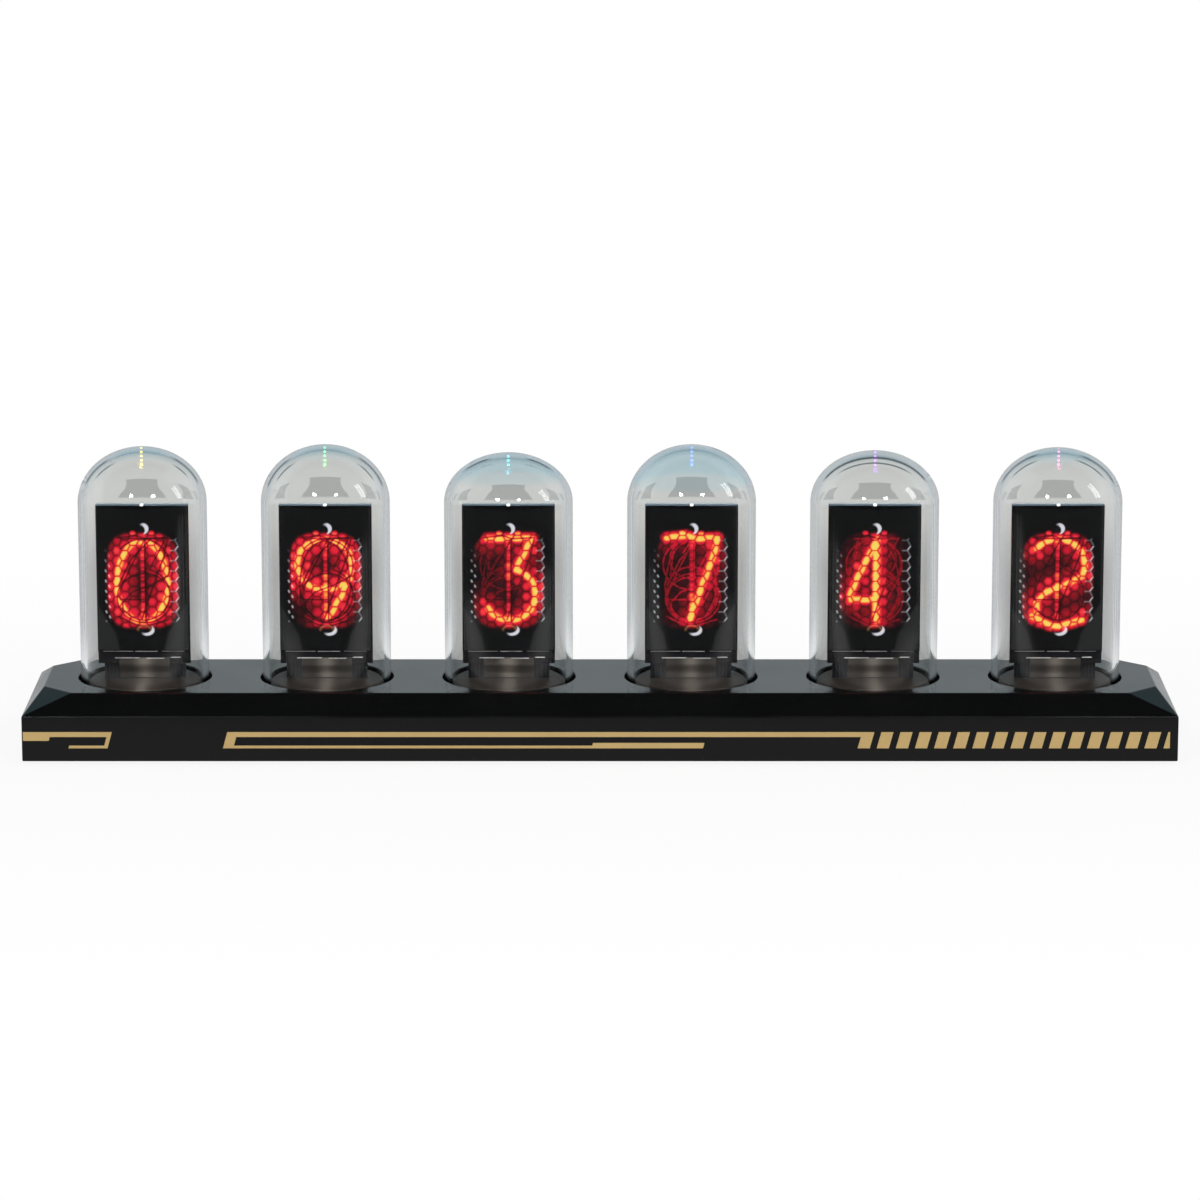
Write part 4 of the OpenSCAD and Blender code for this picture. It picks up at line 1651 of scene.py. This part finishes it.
@dataclass
class Display:
    """Upright display of every tube: panel, lit film, tray, flex tail and carrier board.

    Attributes:
        film_t: Thickness of the front film.
        film_margin: Step of the film inside the panel's front glass.
        cell: Size of a point of the picture.
        sheet_t: Thickness of each of the panel's two sheets.
        ledge: Height of the bare glass ledge along the lower edge.
        driver_size: Width, thickness and height of the driver chip.
        driver_rise: Lower edge of the driver chip above the panel's lower edge.
        edge: Rounding of the glass edges.
        glint_t: Thickness of a pale strip that stands for a painted highlight.
        glint_runs: Left end, right end and height of each painted highlight strip, from the middle of the
            panel's lower edge.
    """

    film_t: float = 0.1 * MM
    film_margin: float = 0.25 * MM
    cell: float = 0.12 * MM
    sheet_t: float = 0.5 * MM
    ledge: float = 2.5 * MM
    driver_size: tuple[float, float, float] = (10.5 * MM, 0.25 * MM, 0.75 * MM)
    driver_rise: float = 1.25 * MM
    edge: float = 0.06 * MM
    glint_t: float = 0.15 * MM
    glint_runs: tuple[tuple[float, float, float], ...] = (
        (-7.8 * MM, -2.1 * MM, 2.42 * MM),
        (-1.7 * MM, 2.6 * MM, 2.38 * MM),
        (3.4 * MM, 7.7 * MM, 2.44 * MM),
        (-5.6 * MM, -0.9 * MM, 1.08 * MM),
        (0.4 * MM, 3.8 * MM, 1.02 * MM),
        (5.0 * MM, 6.9 * MM, 1.2 * MM),
    )

    def build(self) -> None:
        """Makes the first display and copies it along the row."""
        low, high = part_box("lcd_panel_1")
        cell, driver = self.build_cell(low, high), self.build_driver(low, high)
        film, glint_strips = self.build_film(low, high), self.build_glint_strips(low, high)
        first = tube_middle(1)
        for index in TUBES:
            shift = tube_middle(index) - first
            glass = shifted_copy(cell, f"panel_cell_{index}", shift)
            settle(glass, BASE, "lcd", PANEL_GLASS, f"lcd_panel_{index}")
            settle(shifted_copy(driver, f"panel_driver_{index}", shift), BASE, "shield_metal", DRIVER)
            # painted highlight strips on the ledge
            settle(shifted_copy(glint_strips, f"ledge_glints_{index}", shift), BASE, "backlight", LEDGE_GLINT)
            front = shifted_copy(film, f"panel_film_{index}", shift)
            self.paint(front, index)
            settle(front, BASE, "lcd", FILM)
            flex = smoothed(merged_copy(f"display_flex_{index}", f"flex_tail_{index}"), SOFT_ANGLE)
            settle(flex, BASE, "flex", FLEX, f"display_flex_{index}")
            dress(TRAY, f"lcd_backlight_{index}")
            dress(CARRIER, f"display_board_{index}")
        for piece in (cell, driver, film, glint_strips):
            bpy.data.objects.remove(piece)
        for finish in (FILM, PANEL_GLASS):
            finish.material().cycles.emission_sampling = "NONE"

    def build_cell(self, low: Vector, high: Vector) -> bpy.types.Object:
        """Makes the panel's two sheets, the front one shorter.

        Args:
            low: Lowest corner of the panel.
            high: Highest corner of the panel.

        Returns:
            The panel.
        """
        middle = high.y - self.sheet_t
        rear = block("rear_sheet", (low.x, middle, low.z), high, self.edge)
        foot, head = (low.x, low.y, low.z + self.ledge), (high.x, middle, high.z)
        front = block("front_sheet", foot, head, self.edge)
        return smoothed(joined("panel", [rear, front]))

    def build_driver(self, low: Vector, high: Vector) -> bpy.types.Object:
        """Makes the driver chip on the ledge.

        Args:
            low: Lowest corner of the panel.
            high: Highest corner of the panel.

        Returns:
            The chip.
        """
        width, depth, height = self.driver_size
        x, y, z = (low.x + high.x) / 2, high.y - self.sheet_t, low.z + self.driver_rise
        foot, head = (x - width / 2, y - depth, z), (x + width / 2, y, z + height)
        return smoothed(block("driver", foot, head, self.edge))

    def build_glint_strips(self, low: Vector, high: Vector) -> bpy.types.Object:
        """Makes pale strips, painted highlights, along the glass step and along the tail's upper edge.

        Args:
            low: Lowest corner of the panel.
            high: Highest corner of the panel.

        Returns:
            The painted highlight strips.
        """
        x, y = (low.x + high.x) / 2, high.y - self.sheet_t
        rows = []
        for left, right, rise in self.glint_runs:
            foot = (x + left, y - 2 * self.glint_t, low.z + rise - self.glint_t / 2)
            head = (x + right, y, low.z + rise + self.glint_t / 2)
            rows.append(block("glint_t", foot, head, self.glint_t / 3))
        return smoothed(joined("glint_strips", rows), SOFT_ANGLE)

    def build_film(self, low: Vector, high: Vector) -> bpy.types.Object:
        """Makes the front film as a thin closed slab with a fine front face.

        Args:
            low: Lowest corner of the panel.
            high: Highest corner of the panel.

        Returns:
            The film.
        """
        width = high.x - low.x - 2 * self.film_margin
        height = high.z - low.z - self.ledge - 2 * self.film_margin
        place = ((low.x + high.x) / 2, low.y - self.film_t, high.z - self.film_margin - height / 2)
        bpy.ops.object.select_all(action="DESELECT")
        bpy.ops.mesh.primitive_grid_add(
            x_subdivisions=round(width / self.cell),
            y_subdivisions=round(height / self.cell),
            size=1,
            location=place,
            rotation=(math.pi / 2, 0, 0),
        )
        bpy.context.object.scale = (width, height, 1)
        film = named("film")
        with editing(film):
            pick_edges(film, lambda edge: edge.is_boundary)
            bpy.ops.mesh.extrude_region_move(TRANSFORM_OT_translate={"value": (0, self.film_t, 0)})
            bpy.ops.mesh.edge_face_add()
        return film

    def paint(self, film: bpy.types.Object, index: int) -> None:
        """Paints the lit picture on the front of a film.

        Args:
            film: The film.
            index: Number of the tube, from the left.
        """
        low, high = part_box(f"lcd_panel_{index}")
        points = np.empty(len(film.data.vertices) * 3)
        film.data.vertices.foreach_get("co", points)
        x, y, z = points.reshape(-1, 3).T
        picture = TubePicture(SHOWN[index - 1])
        colours = picture.paint((x - (low.x + high.x) / 2) / MM, (high.z - z) / MM)
        colours[y > low.y - self.film_t / 2, :3] = 0
        layer = film.data.color_attributes.new(FILM.attribute, "FLOAT_COLOR", "POINT")
        layer.data.foreach_set("color", colours.ravel())


@dataclass
class BoardBack:
    """Solder ends, contact pads and printed lines on the rear of every carrier board, in mm.

    Places are measured to the right of the tube's axis and up from the table.

    Attributes:
        solder_t: Thickness of the solder.
        pad_t: Thickness of a contact pad.
        print_t: Thickness of the print.
        chip: Left, lower, right and upper edge of the chip.
        chip_legs: Number of legs on each side of the chip.
        leg: Width and length of a leg.
        regulator: Left, lower, right and upper edge of the regulator.
        capacitors: Left, lower, right and upper edge of each capacitor.
        cap_end: Height of a capacitor's tinned ends, and how far they stand out.
        cap_t: How far a capacitor stands off the board.
        pad_count: Number of contact pads.
        pad_pitch: Distance between two of them.
        pad_width: Width of a pad.
        pad_ends: Lower and upper edge of the pads.
        line: Width of a printed line, and its gap to the part inside it.
        mark: Lower and upper end of the mark at the chip's first leg, down from the upper line.
    """

    solder_t: float = 0.22
    pad_t: float = 0.05
    print_t: float = 0.03
    chip: tuple[float, ...] = (-2.45, 25.0, 2.45, 28.9)
    chip_legs: int = 4
    leg: tuple[float, float] = (0.4, 0.75)
    regulator: tuple[float, ...] = (-1.45, 20.0, 1.45, 21.4)
    capacitors: tuple[tuple[float, ...], ...] = ((-4.625, 20.0, -3.375, 22.0), (3.375, 20.0, 4.625, 22.0))
    cap_end: tuple[float, float] = (0.45, 0.03)
    cap_t: float = 0.8
    pad_count: int = 8
    pad_pitch: float = 1.2
    pad_width: float = 0.7
    pad_ends: tuple[float, float] = (13.1, 15.3)
    line: tuple[float, float] = (0.14, 1.1)
    mark: tuple[float, float] = (0.9, 0.4)

    def build(self) -> None:
        """Makes the first tube's set and copies it along the row."""
        rows = (
            ("board_solder", self.solder(), "shield_metal", STEEL),
            ("board_pads", self.contacts(), "gold_foil", CONTACT),
            ("board_lines", self.lines(), "backlight", PRINT),
        )
        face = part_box("display_board_1")[1].y
        for name, boxes, slot, finish in rows:
            pieces = []
            for x0, z0, x1, z1, depth in boxes:
                foot, head = (x0 * MM, face, z0 * MM), (x1 * MM, face + depth * MM, z1 * MM)
                pieces.append(block(name, foot, head, depth * MM / THIN_PART))
            whole = joined(name, pieces)
            for index in TUBES:
                settle(shifted_copy(whole, f"{name}_{index}", tube_middle(index)), BASE, slot, finish)
            bpy.data.objects.remove(whole)

    def solder(self) -> list[tuple[float, ...]]:
        """Lists the legs of the chip and the regulator, and the capacitors' tinned ends.

        Returns:
            Left, lower, right and upper edge of each, and how far it stands off the board.
        """
        width, length = self.leg
        left, low, right, high = self.chip
        step = (high - low) / self.chip_legs
        boxes = []
        for k in range(self.chip_legs):
            foot = low + step * (k + 0.5) - width / 2
            boxes.append((left - length, foot, left, foot + width, self.solder_t))
            boxes.append((right, foot, right + length, foot + width, self.solder_t))
        left, low, right, high = self.regulator
        for x in (left + width / 2, (left + right) / 2, right - width / 2):
            boxes.append((x - width / 2, low - length, x + width / 2, low, self.solder_t))
        boxes.append((left + width, high, right - width, high + length, self.solder_t))
        end, out = self.cap_end
        for left, low, right, high in self.capacitors:
            for foot in (low - out, high + out - end):
                boxes.append((left - out, foot, right + out, foot + end, self.cap_t + out))
        return boxes

    def contacts(self) -> list[tuple[float, ...]]:
        """Lists the row of contact pads above the plinth.

        Returns:
            Left, lower, right and upper edge of each, and how far it stands off the board.
        """
        low, high = self.pad_ends
        middles = [(k - (self.pad_count - 1) / 2) * self.pad_pitch for k in range(self.pad_count)]
        starts = [x - self.pad_width / 2 for x in middles]
        return [(x, low, x + self.pad_width, high, self.pad_t) for x in starts]

    def lines(self) -> list[tuple[float, ...]]:
        """Lists the printed lines above and below the chip, and the mark at its first leg.

        Returns:
            Left, lower, right and upper edge of each, and how far it stands off the board.
        """
        width, gap = self.line
        left, low, right, high = self.chip
        lower, upper = low - gap / 2 - width, high + gap / 2
        start, end = self.mark
        level = [(left - gap, z, right + gap, z + width, self.print_t) for z in (lower, upper)]
        mark = (left - gap, upper - start, left - gap + 2 * width, upper - end, self.print_t)
        return [*level, mark]


@dataclass
class TubeFoot:
    """Socket of every tube, with the colour LED under its light hole.

    Attributes:
        lens_r: Radius of an LED's lens.
        lens_h: Height of an LED's lens.
        lens_y: Distance of an LED behind the tube's axis.
        lens_sink: Depth of the lens's foot below the LED's top.
        lens_roughness: Roughness of a lens.
        arc_steps: Number of steps from a lens's foot up to its top.
        round_steps: Number of steps round a lens.
    """

    lens_r: float = 1.75 * MM
    lens_h: float = 0.55 * MM
    lens_y: float = 6.0 * MM
    lens_sink: float = 0.4 * MM
    lens_roughness: float = 0.2
    arc_steps: int = 8
    round_steps: int = 32

    def build(self) -> None:
        """Makes the sockets and the LED lenses."""
        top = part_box("glow_leds")[1].z - self.lens_sink
        angles = quarter_turn(self.arc_steps)[:-1]
        cap = [(self.lens_r * math.cos(a), self.lens_h * math.sin(a)) for a in angles]
        outline = [(0, 0), *cap, (0, self.lens_h)]
        dress(CREAM, "glow_leds")
        for index, colour in zip(TUBES, LedColour):
            node = f"tube_socket_{index}"
            settle(smoothed(merged_copy(node, f"socket_{index}")), BASE, "socket", SOCKET, node)
            middle = tube_middle(index) + Vector((0, self.lens_y, top))
            lens = turned(f"led_lens_{index}", outline, middle, Axis.UP, self.round_steps)
            finish = LitLens(
                f"led_{colour.name.lower()}",
                colour.value,
                roughness=self.lens_roughness,
                light=colour.value,
            )
            settle(smoothed(lens, SOFT_ANGLE), BASE, "led_body", finish)


@dataclass
class InnerWorks:
    """Boards and parts inside the base, which keep their CAD shapes."""

    def build(self) -> None:
        """Dresses the inner pieces."""
        dress(MAIN_BOARD, "main_board")
        dress(CARRIER, "processor_board")
        dress(STEEL, "board_screws", "processor_shield", "backup_cell")
        dress(CHIP, "clock_chip", "switch_bodies", "display_connectors", "display_parts")
        dress(CREAM, "cell_holder", "mode_plunger", "minus_plunger", "plus_plunger")


# Studio


@dataclass(frozen=True)
class Lamp:
    """Soft lamp, placed by its bearing from the object.

    Attributes:
        name: Name of the lamp.
        bearing: Degrees to the right of the front.
        height: Degrees above the horizon.
        distance: Distance from the object.
        size: Width and height, or one diameter for a round lamp.
        power: Power in watts.
    """

    name: str
    bearing: float
    height: float
    distance: float
    size: tuple[float, ...]
    power: float

    def hang(self, aim: Vector) -> None:
        """Hangs the lamp and turns it to a point.

        Args:
            aim: The point, which the distance is measured from.
        """
        turn, rise = math.radians(self.bearing), math.radians(self.height)
        way = Vector((math.sin(turn) * math.cos(rise), -math.cos(turn) * math.cos(rise), math.sin(rise)))
        bpy.ops.object.light_add(type="AREA", location=aim + way * self.distance)
        lamp = bpy.context.object
        lamp.name = self.name
        lamp.rotation_euler = way.to_track_quat("Z", "Y").to_euler()
        lamp.data.shape = "DISK" if len(self.size) == 1 else "RECTANGLE"
        lamp.data.size = self.size[0]
        lamp.data.size_y = self.size[-1]
        lamp.data.energy = self.power
        lamp.visible_camera = False


@dataclass
class Studio:
    """Camera, lamps, pale floor and white surroundings.

    Attributes:
        eye: Place of the camera.
        tilt: How far the camera looks down, in degrees.
        lens: Focal length on a sensor 36 mm wide, in mm.
        aim: Point that the lamps are turned to.
        lamps: The lamps.
        floor_size: Side of the floor.
        floor_tone: Tone of the floor under its white, where shadows show.
        white: Share of white over that tone at the object.
        white_reach: Distance from the object where the floor is all white.
        pool: Distances from the object where the painted pool of light on the floor in mirrors starts to
            fade and ends.
        turn_pale: Places along Y where the floor in mirrors turns from dark in front to pale behind.
        band_rate: Number of darker bands on that floor, for each radian about the object.
        band_detail: Detail of the noise that makes the bands.
        band_limits: Values of that noise where a band starts and is darkest.
        band_gap: Distances from the object where the bands start and are full.
        clearing: Distances from the object where the floor in glass starts to turn from painted shade to
            pale and is so.
        waist: Half width and height of the grey form, a painted reflection behind each crown, where it is
            slimmest.
        form_ends: Lower and upper end of that form.
        form_flare: How fast it widens up and down, per metre.
        form_blur: How far its outline fades.
        warm_grey: Floor and surroundings seen through glass.
        near_shade_grey: Painted shade on the floor seen through glass close to the object.
        reflection_grey: Painted reflection behind each crown, seen through glass.
        haze: Horizon in mirrors.
        dusk: Surroundings in mirrors, well above the horizon.
        night: Surroundings in mirrors, overhead and in front.
        dusk_rise: Heights on the unit sphere where the horizon starts to turn to dusk and has done so.
        night_rise: Heights where dusk starts to turn to night and has done so.
        night_front: Places along Y where the surroundings start to turn to night and have done so.
        daylight: Strength of the light from the surroundings.
        mirrored_light_pool: Painted pool of light on the floor in mirrors, close to the object.
        dim_floor: Floor in mirrors, in front of the object.
        pale_floor: Floor in mirrors, behind the object.
        grey_floor: Darker bands of that floor.
    """

    eye: tuple[float, float, float] = (0.0, -1.0066, 0.2451)
    tilt: float = 12.17
    lens: float = 161.0
    aim: tuple[float, float, float] = (0.0, 0.0, 0.03)
    lamps: tuple[Lamp, ...] = (
        Lamp("left_spot", bearing=-22, height=32, distance=1.2, size=(0.15,), power=3.4),
        Lamp("right_spot", bearing=22, height=32, distance=1.2, size=(0.15,), power=3.4),
        Lamp("right_window", bearing=80, height=28, distance=1.2, size=(0.1, 0.55), power=1.3),
    )
    floor_size: float = 12.0
    floor_tone: Colour = (0.8, 0.8, 0.8)
    white: float = 0.9
    white_reach: float = 0.15
    pool: tuple[float, float] = (0.035, 0.07)
    turn_pale: tuple[float, float] = (-0.02, 0.05)
    band_rate: float = 5.0
    band_detail: float = 2.0
    band_limits: tuple[float, float] = (0.6, 0.42)
    band_gap: tuple[float, float] = (0.04, 0.09)
    clearing: tuple[float, float] = (0.13, 0.23)
    waist: tuple[float, float] = (0.0080, 0.0595)
    form_ends: tuple[float, float] = (0.0490, 0.0665)
    form_flare: float = 30.0
    form_blur: float = MM / 3
    warm_grey: Colour = (0.70, 0.69, 0.675)
    near_shade_grey: Colour = (0.44, 0.435, 0.43)
    reflection_grey: Colour = (0.48, 0.475, 0.47)
    haze: Colour = (0.50, 0.55, 0.58)
    dusk: Colour = (0.15, 0.25, 0.28)
    night: Colour = (0.012, 0.013, 0.014)
    dusk_rise: tuple[float, float] = (0.25, 0.62)
    night_rise: tuple[float, float] = (0.6, 0.95)
    night_front: tuple[float, float] = (0.2, -0.4)
    daylight: float = 0.55
    mirrored_light_pool: Colour = (0.36, 0.35, 0.345)
    dim_floor: Colour = (0.06, 0.06, 0.062)
    pale_floor: Colour = (0.78, 0.79, 0.80)
    grey_floor: Colour = (0.36, 0.38, 0.39)

    def build(self) -> None:
        """Sets up everything that isn't part of the object."""
        bpy.context.scene.view_settings.view_transform = "Standard"
        self.place_camera()
        for lamp in self.lamps:
            lamp.hang(Vector(self.aim))
        self.lay_floor()
        self.paint_world()

    def place_camera(self) -> None:
        """Makes the camera at the photograph's view."""
        bpy.ops.object.camera_add(location=self.eye, rotation=(math.radians(90 - self.tilt), 0, 0))
        camera = bpy.context.object
        camera.data.lens = self.lens
        bpy.context.scene.camera = camera

    def ray_masks(self, nodes: Nodes) -> tuple[bpy.types.NodeSocket, ...]:
        """Tells rays apart by how they reach the floor or the surroundings.

        Args:
            nodes: Writer of the tree.

        Returns:
            Masks of rays from the eye, of rays that a surface mirrored, and of rays that only passed
            through glass.
        """
        path = nodes.add("LightPath").outputs
        bounced = nodes.math("GREATER_THAN", path["Glossy Depth"], 0.5)
        turned_back = nodes.math("MULTIPLY", path["Is Glossy Ray"], bounced)
        never = nodes.math("SUBTRACT", 1.0, bounced)
        straight = nodes.math("MULTIPLY", path["Is Transmission Ray"], never)
        return path["Is Camera Ray"], turned_back, straight

    def painted_reflection_form(
        self, nodes: Nodes, x: bpy.types.NodeSocket, y: bpy.types.NodeSocket
    ) -> bpy.types.NodeSocket:
        """Paints the slim-waisted grey form, a painted reflection that the crowns show above the panels.

        Args:
            nodes: Writer of the tree.
            x: Place on the floor along X.
            y: Place on the floor along Y.

        Returns:
            Mask of the form, with one for every tube.
        """
        _, eye_y, eye_z = self.eye
        nearer = nodes.math("DIVIDE", 1.0, nodes.math("SUBTRACT", y, eye_y))
        level = nodes.product(y, eye_z, nearer)
        across = nodes.product(x, -eye_y, nearer)
        slim, height = self.waist
        rise = nodes.math("SUBTRACT", level, height)
        flare = nodes.product(rise, rise, self.form_flare)
        past = nodes.math("SUBTRACT", nodes.math("SUBTRACT", nodes.from_tube(across), slim), flare)
        low, high = self.form_ends
        return nodes.product(
            nodes.ease(past, self.form_blur, -self.form_blur),
            nodes.ease(level, low, low + 3 * self.form_blur),
            nodes.ease(level, high, high - self.form_blur),
            nodes.math("LESS_THAN", nodes.math("ABSOLUTE", across), len(TUBES) * HALF_PITCH),
        )

    def lay_floor(self) -> None:
        """Lays a floor that is white to the eye, keeps shadows, and shows its tones in glass and gloss,
        among them painted shade, a painted pool of light and painted reflections.
        """
        bpy.ops.object.select_all(action="DESELECT")
        bpy.ops.mesh.primitive_plane_add(size=self.floor_size)
        floor = named("floor")
        material = bpy.data.materials.new("pale_floor")
        material.use_nodes = True
        nodes = Nodes(material.node_tree)
        place = nodes.add("TexCoord").outputs["Object"]
        half = (cad_high.x, cad_high.y, 0)
        past = nodes.vector("SUBTRACT", nodes.vector("ABSOLUTE", place).outputs[0], half).outputs[0]
        gap = nodes.vector("LENGTH", nodes.vector("MAXIMUM", past, (0, 0, 0)).outputs[0]).outputs["Value"]
        x, y, _ = nodes.add("SeparateXYZ", {0: place}).outputs
        bearing = nodes.math("MULTIPLY", nodes.math("ARCTAN2", x, y), self.band_rate)
        noise = {"W": bearing, "Detail": self.band_detail}
        bands = nodes.add("TexNoise", noise, noise_dimensions="1D").outputs[0]
        banded = nodes.product(nodes.ease(bands, *self.band_limits), nodes.ease(gap, *self.band_gap))
        rear = nodes.mix(banded, self.pale_floor, self.grey_floor)
        # painted pool of light on the floor in mirrors, close to the object
        front = nodes.mix(nodes.ease(gap, *self.pool), self.mirrored_light_pool, self.dim_floor)
        mirrored = nodes.mix(nodes.ease(y, *self.turn_pale), front, rear)
        # painted shade on the floor close to the object, seen through glass
        open_floor = nodes.mix(nodes.ease(gap, *self.clearing), self.near_shade_grey, self.warm_grey)
        # painted reflection behind each crown, seen only through glass
        through = nodes.mix(self.painted_reflection_form(nodes, x, y), open_floor, self.reflection_grey)
        seen, turned_back, straight = self.ray_masks(nodes)
        shown = nodes.add("BsdfDiffuse", {"Color": (*self.floor_tone, 1)}).outputs[0]
        limits = {0: gap, 1: 0.0, 2: self.white_reach, 3: self.white, 4: 1.0}
        white = nodes.add("MapRange", limits).outputs[0]
        for share, colour in (
            (nodes.math("MULTIPLY", seen, white), WHITE),
            (turned_back, mirrored),
            (straight, through),
        ):
            glow = nodes.add("Emission", {"Color": colour}).outputs[0]
            shown = nodes.add("MixShader", {0: share, 1: shown, 2: glow}).outputs[0]
        nodes.add("OutputMaterial", {"Surface": shown})
        floor.data.materials.append(material)

    def paint_world(self) -> None:
        """Surrounds the object with white to the eye, soft light, and a bright horizon in gloss."""
        world = bpy.data.worlds.new("surroundings")
        bpy.context.scene.world = world
        world.use_nodes = True
        nodes = Nodes(world.node_tree)
        _, back, rise = nodes.add("SeparateXYZ", {0: nodes.add("TexCoord").outputs["Generated"]}).outputs
        high = nodes.mix(nodes.ease(rise, *self.dusk_rise), self.haze, self.dusk)
        higher = nodes.mix(nodes.ease(rise, *self.night_rise), high, self.night)
        mirrored = nodes.mix(nodes.ease(back, *self.night_front), higher, self.night)
        seen, turned_back, straight = self.ray_masks(nodes)
        shown = nodes.add("Background", {"Color": WHITE, "Strength": self.daylight}).outputs[0]
        for share, colour in (
            (turned_back, mirrored),
            (straight, (*self.warm_grey, 1)),
            (seen, WHITE),
        ):
            tone = nodes.add("Background", {"Color": colour}).outputs[0]
            shown = nodes.add("MixShader", {0: share, 1: shown, 2: tone}).outputs[0]
        nodes.add("OutputWorld", {"Surface": shown})


def main() -> None:
    """Builds the clock's sub-assemblies and the studio."""
    logging.basicConfig(level=logging.INFO, format="%(name)s: %(message)s")
    base = (Housing(), Underside(), RearPanel(), InnerWorks())
    tubes = (BoardBack(), TubeFoot(), Display(), *(GlassDome(index) for index in TUBES))
    for assembly in (*base, *tubes, Studio()):
        assembly.build()


if __name__ == "__main__":
    main()
